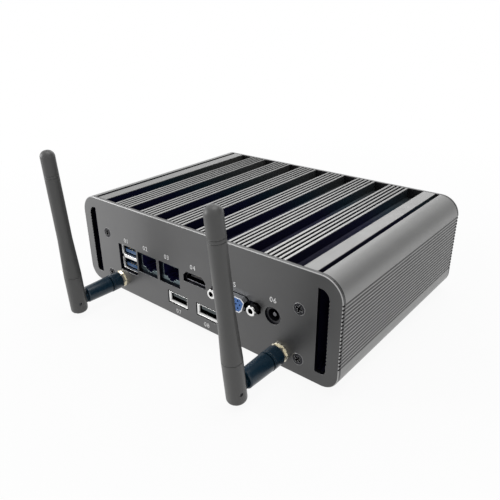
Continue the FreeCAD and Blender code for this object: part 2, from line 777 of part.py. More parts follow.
def drive_screw_places():
    first = s.drive_front_y + s.drive_screw_first
    return [(s.drive_screw_x * side, y) for side in (-1, 1) for y in (first, first + s.drive_screw_pitch)]


# ---------------------------------------------------------------- end plates

def plate_blank(name, outer_y, outwards):
    """An end plate with its bevelled outline, notches, air slots and screw holes."""
    owner = new_body(name)
    offset = -outer_y
    outline = case_outline(owner, name + "_outline", offset)
    pad(owner, outline, s.plate_thickness, reverse=outwards < 0)
    round_case_corners(owner)

    def outer_edge(edge, middle):
        return abs(middle.y - number(outer_y)) < 0.01 and edge.BoundBox.YLength < 0.01
    chamfer(owner, edges_where(owner.Shape, outer_edge), s.plate_bevel)

    slots = sketch(owner, name + "_slots", "XZ_Plane", offset)
    for side in (-1, 1):
        rectangle(slots, (s.slot_inner_x * side, s.slot_outer_x * side), (s.slot_low_z, s.slot_high_z))
    pocket(owner, slots)
    fillet(owner, long_edges_at(owner.Shape, s.slot_outer_x, s.slot_high_z), s.slot_top_radius)
    fillet(owner, long_edges_at(owner.Shape, s.slot_outer_x, s.slot_low_z), s.slot_low_radius)
    fillet(owner, long_edges_at(owner.Shape, s.slot_inner_x, s.slot_low_z), s.slot_inner_radius)
    rib_notches(owner, name + "_ribs", [(s.case_width / 2, -1), (s.slot_outer_x, 1)], offset)

    holes = sketch(owner, name + "_holes", "XZ_Plane", offset)
    for side in (-1, 1):
        for port_z in (s.port_low_z, s.port_high_z):
            circle(holes, s.port_x * side, port_z, s.screw_hole)
    pocket(owner, holes)

    def at_face(middle):
        return abs(middle.y - number(outer_y)) < 0.01
    countersink(owner, at_face)
    return owner


def make_io_plate():
    owner = plate_blank("io_plate", front_y, -1)
    offset = -front_y
    sockets = sketch(owner, "socket_cutouts", "XZ_Plane", offset)
    rectangle(sockets, (s.stack_left_x, s.stack_right_x), (s.stack_low_z, s.board_low_z))
    for centre in (s.lan_first_x, s.lan_second_x):
        rectangle(sockets, (centre - s.lan_width / 2, centre + s.lan_width / 2), (s.lan_low_z, s.lan_high_z))
    polygon(sockets, bevelled(s.video_left_x, s.video_right_x, s.video_low_z, s.video_high_z, s.video_bevel))
    play = s.single_lip + s.single_play
    for centre in (s.single_left_x, s.single_right_x):
        half = s.single_width / 2 + play
        low = s.daughter_top_z - play
        rectangle(sockets, (centre - half, centre + half), (low, low + s.single_height + 2 * play))
    circle(sockets, s.power_x, s.power_z, s.power_radius + s.plate_play)
    for side in (-1, 1):
        circle(sockets, s.antenna_x * side, s.antenna_z, s.jack_radius + s.gap)
    polygon(sockets, vga_cutout(s.body_play))
    pocket(owner, sockets)
    keep("io_plate", owner)


def make_rear_plate():
    owner = plate_blank("rear_plate", rear_y, 1)
    hole = sketch(owner, "button_hole", "XZ_Plane", -rear_y)
    circle(hole, s.button_x, s.button_z, s.button_barrel + s.plate_play)
    pocket(owner, hole)
    keep("rear_plate", owner)


def bevelled(left, right, low, high, bevel):
    """A box outline with both upper corners bevelled."""
    return [(left, low), (right, low), (right, high - bevel), (right - bevel, high),
            (left + bevel, high), (left, high - bevel)]


def around_vga(right):
    """The right half of an outline about the display socket's centre, with its mirror image."""
    return [(s.vga_x + x, s.vga_z + z) for x, z in both_sides(right)]


def d_outline(grow):
    """The D shape of the display socket, with bevelled corners."""
    top = s.vga_half_top + grow
    low = s.vga_half_low + grow
    half = s.vga_half_height + grow
    corner = s.vga_corner
    return around_vga([(low - corner, -half), (low, corner - half),
                       (top, half - corner), (top - corner, half)])


def vga_cutout(grow):
    """The D shape with an ear at each side for the jack screws."""
    top = s.vga_half_top + grow
    low = s.vga_half_low + grow
    half = s.vga_half_height + grow
    ear = s.ear_half_height
    end = s.ear_half_width
    bevel = s.ear_corner
    return around_vga([(low - bevel, -half), (low, -ear), (end - bevel, -ear), (end, bevel - ear),
                       (end, ear - bevel), (end - bevel, ear), (top, ear), (top - bevel, half)])


# ---------------------------------------------------------------- base

def make_base_plate():
    owner = new_body("base_plate")
    blank = sketch(owner, "base_blank", "XY_Plane")
    half_y = inner_rear_y - s.plate_play
    rectangle(blank, (-s.base_half_x, s.base_half_x), (-half_y, half_y))
    pad(owner, blank, s.plate_thickness)
    mounts = [(s.mount_pitch / 2 * a, s.mount_pitch / 2 * b) for a in (-1, 1) for b in (-1, 1)]
    bosses = sketch(owner, "mount_bosses", "XY_Plane")
    for x, y in mounts:
        circle(bosses, x, y, s.mount_boss)
    pad(owner, bosses, s.mount_length)
    threads = sketch(owner, "mount_threads", "XY_Plane")
    for x, y in mounts:
        circle(threads, x, y, s.mount_hole)
    pocket(owner, threads)
    holes = sketch(owner, "screw_holes", "XY_Plane")
    for x, y in base_screw_places() + drive_screw_places():
        circle(holes, x, y, s.screw_hole)
    pocket(owner, holes)

    countersink(owner, lambda middle: abs(middle.z) < 0.01)
    keep("base_plate", owner)


def make_feet():
    foot = rod("foot", s.foot_radius, "z", (-s.foot_height, 0), (0, 0))
    spots = [Placement(Vector(number(s.foot_x) * a, number(s.foot_y) * b, 0), Rotation())
             for a in (-1, 1) for b in (-1, 1)]
    copies("feet", foot, spots)


# ---------------------------------------------------------------- fasteners

def cross_recess(name):
    """A cross-shaped recess that opens downwards at z = 0."""
    across = (-s.cross_reach, s.cross_reach)
    arm = (-s.cross_half, s.cross_half)
    depth = (0, s.cross_depth)
    slots = [box(name + "_slot_x", across, arm, depth), box(name + "_slot_y", arm, across, depth)]
    return joined(name, slots)


def countersunk_screw(name, length):
    """A countersunk screw with its head's face at z = 0 and its shank towards +Z."""
    height = s.screw_head - s.screw_radius
    head = taper(name + "_head", (s.screw_head, s.screw_radius), "z", (0, height), (0, 0))
    shank = rod(name + "_shank", s.screw_radius, "z", (height, length), (0, 0))
    return cut(name, joined(name + "_blank", [head, shank]), cross_recess(name + "_cross"))


def pan_screw(name, length):
    """A pan-head screw with the underside of its head at z = 0 and its shank towards +Z."""
    head = rod(name + "_head", s.pan_head, "z", (-s.pan_height, 0), (0, 0))
    shank = rod(name + "_shank", s.screw_radius, "z", (0, length), (0, 0))
    recess = cross_recess(name + "_cross")
    place(recess, 0, 0, -s.pan_height)
    return cut(name, joined(name + "_blank", [head, shank]), recess)


def make_plate_screws():
    """Four countersunk screws in each end plate, each left at its own angle."""
    screw = countersunk_screw("plate_screw", s.plate_screw_length)
    angles = iter(SCREW_ANGLES)
    spots = []
    for y, turn in ((number(front_y), -90), (number(rear_y), 90)):
        for side in (-1, 1):
            for port_z in (s.port_low_z, s.port_high_z):
                where = Vector(number(s.port_x) * side, y, number(port_z))
                lie = Rotation(Vector(1, 0, 0), turn)
                spots.append(Placement(where, lie.multiply(Rotation(Vector(0, 0, 1), next(angles)))))
    copies("plate_screws", screw, spots)


def make_base_screws():
    screw = countersunk_screw("base_screw", s.base_screw_length)
    places = base_screw_places() + drive_screw_places()
    spots = [Placement(Vector(number(x), number(y), 0), Rotation()) for x, y in places]
    copies("base_screws", screw, spots)


def make_board_screws():
    """Pan-head screws up through the main board and down through the daughter board."""
    screw = pan_screw("board_screw", s.board_screw_length)
    under = number(s.board_low_z)
    spots = [Placement(Vector(number(x), number(y), under), Rotation()) for x, y in post_places()]
    flip = Rotation(Vector(1, 0, 0), 180)
    for x, y in daughter_post_places():
        spots.append(Placement(Vector(number(x), number(y), number(s.daughter_top_z)), flip))
    copies("board_screws", screw, spots)


def make_block_screws():
    seat_z = block_low_z() + s.block_seat
    screw = pan_screw("block_screw", s.roof_z - seat_z + s.stud_depth)
    spots = [Placement(Vector(number(x), number(y), number(seat_z)), Rotation())
             for x, y in block_screw_places()]
    copies("heat_block_screws", screw, spots)


# ---------------------------------------------------------------- boards and drive

def block_low_z():
    return board_top_z + s.chip_height + s.pad_thickness


def daughter_post_places():
    inset = s.daughter_post_inset
    return [(s.daughter_left_x + inset, s.daughter_post_y), (s.daughter_right_x - inset, s.daughter_post_y)]


def screw_holes(name, spots, z):
    return [rod(f"{name}_{i}", s.screw_hole, "z", z, spot) for i, spot in enumerate(spots)]


def compound(name, solids):
    group = doc.addObject("Part::Compound", name)
    group.Links = solids
    return keep(name, group)


def make_mainboard():
    board = box("mainboard_blank", (-s.board_half_x, s.board_half_x), (s.board_front_y, s.board_rear_y),
                (s.board_low_z, board_top_z))
    cans = [rod(f"can_{x}", CAPACITORS["radius"], "z", (board_top_z, board_top_z + CAPACITORS["height"]),
                (x, CAPACITORS["y"])) for x in CAPACITORS["x"]]
    holes = screw_holes("board_hole", post_places(), (s.board_low_z - 1, board_top_z + 1))
    dressed = joined("mainboard_parts", [board] + blocks(TOP_BLOCKS, board_top_z) + cans)
    keep("mainboard", cut("mainboard", dressed, *holes))


def threaded_post(name, spot, low, high, thread):
    """A hexagonal post with a thread from thread[0] to thread[1]."""
    post = hexagon(name, s.post_flat, "z", (low, high), spot)
    bore = rod(name + "_thread", s.screw_hole, "z", thread, spot)
    return post, bore


def make_board_posts():
    """Hexagonal posts between the roof and the main board, each with a stud in the roof."""
    solids = []
    for i, spot in enumerate(post_places()):
        name = f"post_{i}"
        thread = (board_top_z, board_top_z + s.post_thread)
        post, bore = threaded_post(name, spot, board_top_z, s.roof_z, thread)
        stud = rod(name + "_stud", s.screw_radius, "z", (s.roof_z, s.roof_z + s.stud_depth), spot)
        solids.append(cut(name + "_solid", joined(name + "_blank", [post, stud]), bore))
    compound("board_posts", solids)


def make_processor():
    low = board_top_z
    top = low + s.chip_height

    def centred(name, half, z):
        return box(name, (-half, half), (s.chip_y - half, s.chip_y + half), z)
    carrier = centred("chip_carrier", s.chip_half, (low, low + s.carrier_height))
    lid = centred("chip_lid", s.lid_half, (low + s.carrier_height, top))
    keep("processor", joined("processor", [carrier, lid]))
    keep("thermal_pad", centred("thermal_pad", s.pad_half, (top, top + s.pad_thickness)))


def make_heat_block():
    low = block_low_z()
    half = s.block_half
    block = box("heat_block_blank", (-half, half), (s.chip_y - half, s.chip_y + half), (low, s.roof_z))
    seats = [rod(f"block_seat_{i}", s.pan_head + s.gap, "z", (low - 1, low + s.block_seat), spot)
             for i, spot in enumerate(block_screw_places())]
    holes = screw_holes("block_hole", block_screw_places(), (low - 1, s.roof_z + 1))
    keep("heat_block", cut("heat_block", block, *holes, *seats))


def make_memory():
    under = s.board_low_z
    frame = joined("memory_frame", blocks(MEMORY_SOCKET, under))
    keep("memory_socket", cut("memory_socket", frame, *blocks(MEMORY_MOUTH, under)))
    keep("memory_module", joined("memory_module", blocks(MEMORY_MODULE, under)))


def make_wireless():
    """A radio card flat under the main board, with its two lead sockets at the front."""
    under = s.board_low_z
    bar = blocks(WIRELESS_SOCKET, under)[0]
    keep("wireless_socket", cut("wireless_socket", bar, *blocks(WIRELESS_MOUTH, under)))
    keep("wireless_card", joined("wireless_card", blocks(WIRELESS_CARD, under)))


def make_coin_cell():
    under = s.board_low_z
    spot = (s.cell_x, s.cell_y)
    half = s.holder_half
    block = box("holder_blank", (s.cell_x - half, s.cell_x + half), (s.cell_y - half, s.cell_y + half),
                (under - s.holder_height, under))
    top = under - s.cell_roof
    seat = rod("holder_seat", s.cell_radius + s.running_play, "z", (under - s.holder_height - 1, top), spot)
    keep("cell_holder", cut("cell_holder", block, seat))
    keep("coin_cell", rod("coin_cell", s.cell_radius, "z", (top - s.cell_height, top), spot))


def make_drive():
    low = s.plate_thickness
    block = box("drive_blank", (-s.drive_half_x, s.drive_half_x),
                (s.drive_front_y, s.drive_front_y + s.drive_length), (low, low + s.drive_height))
    holes = screw_holes("drive_hole", drive_screw_places(), (low - 1, s.base_screw_length + s.gap))
    keep("storage_drive", cut("storage_drive", block, *blocks(DRIVE_PLUG, low), *holes))


def make_daughter_board():
    top = s.daughter_top_z
    low = top - s.board_thickness
    board = box("daughter_blank", (s.daughter_left_x, s.daughter_right_x),
                (inner_front_y + s.gap, s.daughter_rear_y), (low, top))
    spots = daughter_post_places()
    holes = screw_holes("daughter_hole", spots, (low - 1, top + 1))
    keep("daughter_board", cut("daughter_board", board, *holes))
    solids = []
    for i, spot in enumerate(spots):
        foot_z = s.plate_thickness
        post, bore = threaded_post(f"low_post_{i}", spot, foot_z, low, (foot_z + s.low_post_floor, low + 1))
        solids.append(cut(f"low_post_solid_{i}", post, bore))
    compound("daughter_board_posts", solids)


# ---------------------------------------------------------------- sockets

def prism_y(name, points, start, end):
    """A closed outline in X and Z, drawn out from start to end along Y."""
    owner = new_body(name)
    drawing = sketch(owner, name + "_outline", "XZ_Plane", -start)
    polygon(drawing, points)
    pad(owner, drawing, end - start, reverse=True)
    return owner


def solder_tabs(name, x, start, top):
    """Two tabs from a shell's top up to the main board."""
    width = s.tab_width
    y = (start + s.tab_setback, start + s.tab_setback + s.sheet_metal)
    lefts = (x[0] + width / 2, x[1] - width * 1.5)
    return [box(f"{name}_tab_{i}", (left, left + width), y, (top - s.sheet_metal, s.board_low_z))
            for i, left in enumerate(lefts)]


def make_stack():
    """Two stacked USB sockets in one shell, hung from the main board."""
    metal = s.sheet_metal
    x = (s.stack_left_x + 2 * metal, s.stack_right_x - s.gap)
    z = (s.stack_low_z + 2 * metal, s.board_low_z)
    start = front_y + s.socket_setback
    end = start + s.stack_depth
    room_end = end - s.shell_back
    blank = box("stack_blank", x, (start, end), z)
    middle = (z[0] + z[1]) / 2
    inner = (x[0] + metal, x[1] - metal)
    rooms = ((z[0] + metal, middle - s.stack_divider), (middle + s.stack_divider, z[1] - metal))
    tools = []
    floors = []
    for i, room in enumerate(rooms):
        tools.append(box(f"stack_room_{i}", inner, (start - 1, room_end), room))
        mouth_x = (inner[0] - metal + s.running_play, inner[1] + metal - s.running_play)
        mouth_z = (room[0] - metal + s.running_play, room[1] + metal - s.running_play)
        lips = (start, start + s.lip_depth)
        tools.append(funnel(f"stack_mouth_{i}", (mouth_x, mouth_z), (inner, room), lips))
        back = box(f"stack_back_{i}", inner, (room_end - s.floor_depth, room_end), room)
        low = (room[0] + room[1]) / 2 - s.tongue_thickness - s.tongue_shift
        tongue = box(f"stack_tongue_{i}", (inner[0] + s.tongue_inset, inner[1] - s.tongue_inset),
                     (start + s.tongue_setback, room_end - s.shell_back), (low, low + s.tongue_thickness))
        floors.append(joined(f"stack_floor_{i}", [back, tongue]))
    keep("usb_stack_shell", cut("usb_stack_shell", blank, *tools))
    compound("usb_stack_tongues", floors)


def lan_opening(centre):
    """The stepped mouth of a network socket, with its latch notch below."""
    return [(centre + x, s.lan_low_z + height) for x, height in both_sides(LAN_MOUTH)]


def make_lan_jack(number_on_plate, centre):
    name = f"lan_jack_{number_on_plate}"
    half = s.lan_width / 2 - s.gap
    x = (centre - half, centre + half)
    z = (s.lan_low_z + s.gap, s.lan_high_z - s.gap)
    start = front_y + s.socket_setback
    end = start + s.lan_depth
    metal = s.sheet_metal
    inner_x = (x[0] + metal, x[1] - metal)
    inner_z = (z[0] + metal, z[1] - metal)
    blank = box(name + "_blank", x, (start, end), z)
    inside = box(name + "_inside", inner_x, (start + metal, end + 1), inner_z)
    mouth = prism_y(name + "_mouth", lan_opening(centre), start - 1, start + 1)
    hollow = cut(name + "_hollow", blank, inside, mouth)
    keep(name + "_shell", joined(name + "_shell", [hollow] + solder_tabs(name, x, start, z[1])))
    block = box(name + "_block", inner_x, (start + metal, end), inner_z)
    well = prism_y(name + "_well", lan_opening(centre), start, start + s.lan_well)
    keep(name + "_insert", cut(name + "_insert", block, well))


def make_video_port():
    play = s.video_play
    left = s.video_left_x + play
    right = s.video_right_x - play
    low = s.video_low_z + play
    high = s.video_high_z - play
    start = front_y + s.socket_setback
    end = start + s.video_depth
    metal = s.sheet_metal
    room_end = end - s.shell_back
    blank = prism_y("video_blank", bevelled(left, right, low, high, s.video_bevel), start, end)
    inside = bevelled(left + metal, right - metal, low + metal, high - metal, s.video_bevel)
    hollow = cut("video_hollow", blank, prism_y("video_room", inside, start - 1, room_end))
    flat = (left + s.video_bevel, right - s.video_bevel)
    keep("video_port_shell", joined("video_port_shell", [hollow] + solder_tabs("video", flat, start, high)))
    back = prism_y("video_back", inside, room_end - s.shell_back, room_end)
    middle = (low + high) / 2
    tongue = box("video_tongue", flat, (start + s.tongue_setback, room_end - 1),
                 (middle - metal, middle + metal))
    keep("video_port_insert", joined("video_port_insert", [back, tongue]))


def make_single_usb(side, centre):
    """A socket on the daughter board, with flared lips at its mouth."""
    name = f"usb_2_{side}"
    metal = s.sheet_metal
    lip = s.single_lip
    half = s.single_width / 2
    x = (centre - half, centre + half)
    z = (s.daughter_top_z, s.daughter_top_z + s.single_height)
    start = front_y + s.gap
    end = start + s.single_depth
    inner = ((x[0] + metal, x[1] - metal), (z[0] + metal, z[1] - metal))
    case = box(name + "_case", x, (start, end), z)
    lip_y = (start, start + s.lip_depth)
    lips = box(name + "_lips", (x[0] - lip, x[1] + lip), lip_y, (z[0] - lip, z[1] + lip))
    rim = s.gap - lip
    mouth = ((x[0] + rim, x[1] - rim), (z[0] + rim, z[1] - rim))
    room = box(name + "_room", inner[0], (start - 1, end - 1), inner[1])
    flare = funnel(name + "_flare", mouth, inner, lip_y)
    keep(name + "_shell", cut(name + "_shell", joined(name + "_metal", [case, lips]), room, flare))
    back = box(name + "_back", inner[0], (end - 1 - s.floor_depth, end - 1), inner[1])
    middle = (z[0] + z[1]) / 2
    tongue = box(name + "_tongue", (inner[0][0] + s.tongue_inset, inner[0][1] - s.tongue_inset),
                 (start + s.lip_depth + s.gap, end - s.floor_depth),
                 (middle, middle + s.tongue_thickness - s.gap))
    keep(name + "_insert", joined(name + "_insert", [back, tongue]))


def make_vga():
    """The D-shaped display socket: flanged shell, insulator and two jack screws."""
    rim = front_y - s.vga_out
    metal = s.sheet_metal
    end = inner_front_y + s.vga_depth
    ears = [(s.vga_x + s.jack_screw_pitch / 2 * side, s.vga_z) for side in (-1, 1)]
    flange_end = inner_front_y + s.flange_thickness
    flange_low = s.vga_z - s.flange_half_z
    nose = prism_y("vga_nose", d_outline(0), rim, flange_end)
    flange = box("vga_flange", (s.vga_x - s.flange_half_x, s.vga_x + s.flange_half_x),
                 (inner_front_y, flange_end), (flange_low, s.vga_z + s.flange_half_z))
    rear = box("vga_rear", (s.vga_x - s.vga_case_half, s.vga_x + s.vga_case_half),
               (inner_front_y, end), (flange_low, s.board_low_z))
    core = prism_y("vga_core", d_outline(-metal), rim - 1, end - 1)
    holes = [rod(f"vga_ear_hole_{i}", s.screw_radius, "y", (inner_front_y - 1, flange_end + 1), spot)
             for i, spot in enumerate(ears)]
    keep("vga_shell", cut("vga_shell", joined("vga_metal", [nose, flange, rear]), core, *holes))

    block = prism_y("vga_block", d_outline(-metal), rim + metal, end - 1)
    holes = []
    depth = (rim - 1, rim + s.pin_hole_depth)
    for row, shift in PIN_ROWS.items():
        for column in range(-2, 3):
            spot = (s.vga_x + s.pin_pitch * (column + shift), s.vga_z + s.row_pitch * row)
            holes.append(rod(f"vga_pin_{row + 1}_{column + 2}", s.pin_hole, "y", depth, spot))
    keep("vga_insert", cut("vga_insert", block, *holes))

    face = front_y - s.jack_screw_out
    shoulder = face + s.jack_screw_face
    stud_end = inner_front_y + s.jack_screw_thread
    solids = []
    for i, spot in enumerate(ears):
        turned_face = rod(f"jack_face_{i}", s.jack_screw_flat / 2, "y", (face, shoulder), spot)
        bar = hexagon(f"jack_hex_{i}", s.jack_screw_flat, "y", (shoulder, inner_front_y), spot)
        stud = rod(f"jack_stud_{i}", s.jack_screw_bore, "y", (inner_front_y, stud_end), spot)
        bore = rod(f"jack_bore_{i}", s.jack_screw_bore, "y", (face - 1, face + s.jack_screw_thread), spot)
        solids.append(cut(f"jack_screw_{i}", joined(f"jack_blank_{i}", [turned_face, bar, stud]), bore))
    compound("vga_jack_screws", solids)


def make_power_socket():
    spot = (s.power_x, s.power_z)
    nose = rod("dc_nose", s.power_radius, "y", (front_y + s.power_setback, inner_front_y + 1), spot)
    half = s.power_radius + s.gap
    end = front_y + s.power_length
    block = box("dc_block", (s.power_x - half, s.power_x + half), (inner_front_y + s.gap, end),
                (s.power_z - half, s.board_low_z))
    bore = rod("dc_bore", s.power_bore, "y", (front_y, front_y + s.power_well), spot)
    seat = rod("dc_seat", s.power_pin, "y", (front_y, end - 1), spot)
    keep("dc_jack_body", cut("dc_jack_body", joined("dc_blank", [nose, block]), bore, seat))
    keep("dc_jack_pin", rod("dc_jack_pin", s.power_pin, "y", (front_y + s.power_pin_setback, end - 1), spot))


def make_power_button():
    spot = (s.button_x, s.button_z)
    rim = rear_y + s.button_flange_out
    flange = rod("button_flange", s.button_flange, "y", (rear_y, rim), spot)
    barrel = rod("button_barrel", s.button_barrel, "y", (rear_y - s.button_length, rim), spot)
    bore = rod("button_bore", s.button_bore, "y", (rear_y - s.button_room, rim + 1), spot)
    keep("power_button_body", cut("power_button_body", joined("button_blank", [flange, barrel]), bore))
    nut_start = inner_rear_y - s.button_nut_height
    nut = hexagon("button_nut_bar", s.button_nut_flat, "y", (nut_start, inner_rear_y), spot)
    nut_bore = rod("button_nut_bore", s.button_barrel, "y", (nut_start - 1, inner_rear_y + 1), spot)
    keep("power_button_nut", cut("power_button_nut", nut, nut_bore))
    cap = (rear_y - s.button_cap_inner, rear_y + s.button_out)
    keep("power_button", rod("power_button", s.button_cap, "y", cap, spot))


# ---------------------------------------------------------------- antennas

def turned(name, outline, x, z):
    """A turned piece: (distance along the axis, radius) pairs revolved about that axis."""
    owner = new_body(name)
    drawing = sketch(owner, name + "_outline", "YZ_Plane")
    polygon(drawing, outline)
    feature = owner.newObject("PartDesign::Revolution", name + "_turned")
    feature.Profile = drawing
    feature.ReferenceAxis = (drawing, ["H_Axis"])
    feature.Angle = 360
    place(owner, x, 0, z)
    doc.recompute()
    return owner


def ringed(start, end, radii, rings):
    """The outer line of a turned piece from start to end, with fine ring grooves cut in it."""
    def radius_at(height):
        share = (number(height) - number(start)) / (number(end) - number(start))
        return radii[0] + (radii[1] - radii[0]) * share
    line = [(start, radii[0])]
    for ring in rings:
        near = ring - s.ring_width / 2
        far = ring + s.ring_width / 2
        radius = radius_at(ring)
        line += [(near, radius), (near, radius - s.ring_depth), (far, radius - s.ring_depth), (far, radius)]
    return line + [(end, radii[1])]


def make_antenna_base(side, name):
    """The jack through the plate with its toothed washer and its nut."""
    spot = (s.antenna_x * side, s.antenna_z)
    face = front_y - s.jack_out
    thread = rod(f"jack_thread_{name}", s.jack_radius, "y", (face, inner_front_y), spot)
    tail_start = inner_front_y + s.jack_flange
    flange = hexagon(f"jack_flange_{name}", s.nut_flat, "y", (inner_front_y, tail_start), spot)
    tail = rod(f"jack_tail_{name}", s.jack_tail, "y", (tail_start, lead_start_y()), spot)
    well = rod(f"jack_well_{name}", s.jack_well, "y", (face - 1, face + s.jack_well_depth), spot)
    jack = joined(f"jack_blank_{name}", [thread, flange, tail])
    keep(f"antenna_jack_{name}", cut(f"antenna_jack_{name}", jack, well))

    washer_y = (front_y - s.washer_thickness, front_y)
    beyond = (front_y - 2 * s.washer_thickness, front_y + s.washer_thickness)
    ring = rod(f"washer_disc_{name}", s.washer_radius, "y", washer_y, spot)
    tools = [rod(f"washer_bore_{name}", s.jack_radius + s.gap, "y", beyond, spot)]
    for tooth in range(WASHER_TEETH):
        angle = 2 * math.pi * tooth / WASHER_TEETH
        gap_spot = (spot[0] + s.washer_radius * math.cos(angle), spot[1] + s.washer_radius * math.sin(angle))
        tools.append(rod(f"washer_gap_{name}_{tooth}", s.tooth_gap, "y", beyond, gap_spot))
    keep(f"antenna_washer_{name}", cut(f"antenna_washer_{name}", ring, *tools))

    nut_end = front_y - s.washer_thickness
    nut_start = nut_end - s.nut_thickness
    bar = hexagon(f"nut_bar_{name}", s.nut_flat, "y", (nut_start, nut_end), spot)
    nut_bore = rod(f"nut_bore_{name}", s.jack_radius + s.thread_play, "y", (nut_start - 1, nut_end + 1), spot)
    keep(f"antenna_nut_{name}", cut(f"antenna_nut_{name}", bar, nut_bore))


def make_coupling(side, name):
    """The coupling is screwed on the jack and holds the arm's spigot."""
    near = front_y - s.coupling_start
    far = front_y - s.coupling_end
    seat = s.jack_radius + s.thread_play
    step = front_y - s.jack_out - s.gap
    bore = s.spigot_radius + s.running_play
    outer = ringed(far, near, (s.coupling_radius, s.coupling_radius), [far + s.coupling_ring])
    inner = [(near, seat), (step, seat), (step, bore), (far, bore)]
    owner = turned(f"antenna_coupling_{name}", outer + inner, s.antenna_x * side, s.antenna_z)
    keep(f"antenna_coupling_{name}", owner)


def hinge():
    """Y and Z of the hinge pin, in front of and below the point where the axes meet."""
    return front_y - s.elbow_out - s.hinge_offset, s.antenna_z - s.hinge_offset


def make_arm(side, name):
    """The arm turns about its own axis and ends in the tongue of the hinge."""
    x = s.antenna_x * side
    start = front_y - s.coupling_end - s.body_play
    spigot_end = front_y - s.jack_out - 2 * s.gap
    shoulder = front_y - s.shoulder_out
    edge = s.arm_edge
    core = turned(f"arm_round_{name}", [
        (spigot_end, 0), (spigot_end, s.spigot_radius), (start, s.spigot_radius),
        (start, s.arm_radius - edge), (start - edge, s.arm_radius),
        (shoulder + edge, s.arm_end_radius), (shoulder, s.arm_end_radius - edge), (shoulder, 0),
    ], x, s.antenna_z)
    half = s.tongue_half
    pin_y, pin_z = hinge()
    strap = box(f"arm_strap_{name}", (x - half, x + half), (pin_y, shoulder + edge),
                (pin_z - s.tongue_radius, pin_z + s.tongue_radius))
    nose = rod(f"arm_nose_{name}", s.tongue_radius, "x", (x - half, x + half), (pin_y, pin_z))
    eye_radius = s.pin_radius + s.running_play
    eye = rod(f"arm_eye_{name}", eye_radius, "x", (x - 2 * half, x + 2 * half), (pin_y, pin_z))
    arm = joined(f"arm_blank_{name}", [core, strap, nose])
    keep(f"antenna_arm_{name}", cut(f"antenna_arm_{name}", arm, eye))
    reach = s.blade_low_radius - s.pin_cover
    pin = rod(f"antenna_pin_{name}", s.pin_radius, "x", (x - reach, x + reach), (pin_y, pin_z))
    keep(f"antenna_pin_{name}", pin)


def make_blade(side, name, tilt):
    """The blade about its own axis, with the hinge pin off that axis, leaned about the pin."""
    owner = new_body(f"antenna_blade_{name}")
    drawing = sketch(owner, f"blade_outline_{name}", "XZ_Plane")
    low = s.blade_low_radius
    waist = s.blade_waist_radius
    tip = s.blade_tip_radius
    top = s.blade_above
    lower_ring = top - s.tip_ring
    collar = ringed(-s.blade_below, s.blade_ring + s.ring_width, (low, low), [s.blade_ring])
    shaft = ringed(s.blade_waist, top, (waist, tip), [lower_ring, lower_ring + s.tip_ring_pitch])
    outline = [(0, -s.blade_below)] + [(radius, height) for height, radius in collar + shaft] + [(0, top)]
    polygon(drawing, outline)
    feature = owner.newObject("PartDesign::Revolution", f"blade_turned_{name}")
    feature.Profile = drawing
    feature.ReferenceAxis = (drawing, ["V_Axis"])
    feature.Angle = 360
    doc.recompute()
    for height, radius in ((top, tip - 2 * s.gap), (-s.blade_below, s.blade_foot)):
        rims = edges_where(owner.Shape, lambda edge, middle: abs(middle.z - number(height)) < 0.01)
        fillet(owner, rims, radius)

    # The slot lets the tongue in from behind and from below, so the blade folds to level.
    pin = -s.hinge_offset
    reach = s.tongue_radius + s.body_play
    slot = sketch(owner, f"blade_slot_{name}", "YZ_Plane")
    polygon(slot, [
        (pin - reach, -s.blade_below - 1), (pin - reach, pin + reach / 2), (pin - reach / 2, pin + reach),
        (low + 1, pin + reach), (low + 1, -s.blade_below - 1)])
    pocket(owner, slot, 2 * (s.tongue_half + s.body_play), middle=True)

    # The heel is rounded about the pin, so it clears the arm's shoulder on the way.
    heel = sketch(owner, f"blade_heel_{name}", "YZ_Plane")
    swing = s.blade_swing
    turns = [math.pi / 2 * step / HEEL_STEPS for step in range(HEEL_STEPS + 1)]
    rounding = [(pin + swing * math.sin(turn), pin - swing * math.cos(turn)) for turn in turns]
    under = -s.blade_below - 1
    behind = pin + swing + 1
    polygon(heel, rounding + [(behind, pin), (behind, under), (pin, under)])
    pocket(owner, heel, 4 * low, middle=True)
    eye = sketch(owner, f"blade_eye_{name}", "YZ_Plane")
    circle(eye, pin, pin, s.pin_radius)
    pocket(owner, eye)

    lean = math.radians(number(tilt))
    pin_y, pin_z = hinge()
    owner.Placement = Placement(Vector(), Rotation(Vector(1, 0, 0), number(tilt)))
    place(owner, s.antenna_x * side,
          pin_y + s.hinge_offset * (math.cos(lean) - math.sin(lean)),
          pin_z + s.hinge_offset * (math.sin(lean) + math.cos(lean)))
    keep(f"antenna_blade_{name}", owner)


def lead_start_y():
    return inner_front_y + s.jack_tail_end


def lead_points(side, name):
    """From the jack's tail, along the table's way, to the lead's socket on the radio card."""
    x = number(s.antenna_x) * side
    z = number(s.antenna_z)
    nub_z = number(s.board_low_z - s.nub_drop)
    lead = LEADS[name]
    nub_x, nub_ys = lead["nub"]
    start = [(x, number(lead_start_y()), z), (x, lead["straight_to"], z)]
    return start + lead["way"] + [(nub_x, y, nub_z) for y in nub_ys]


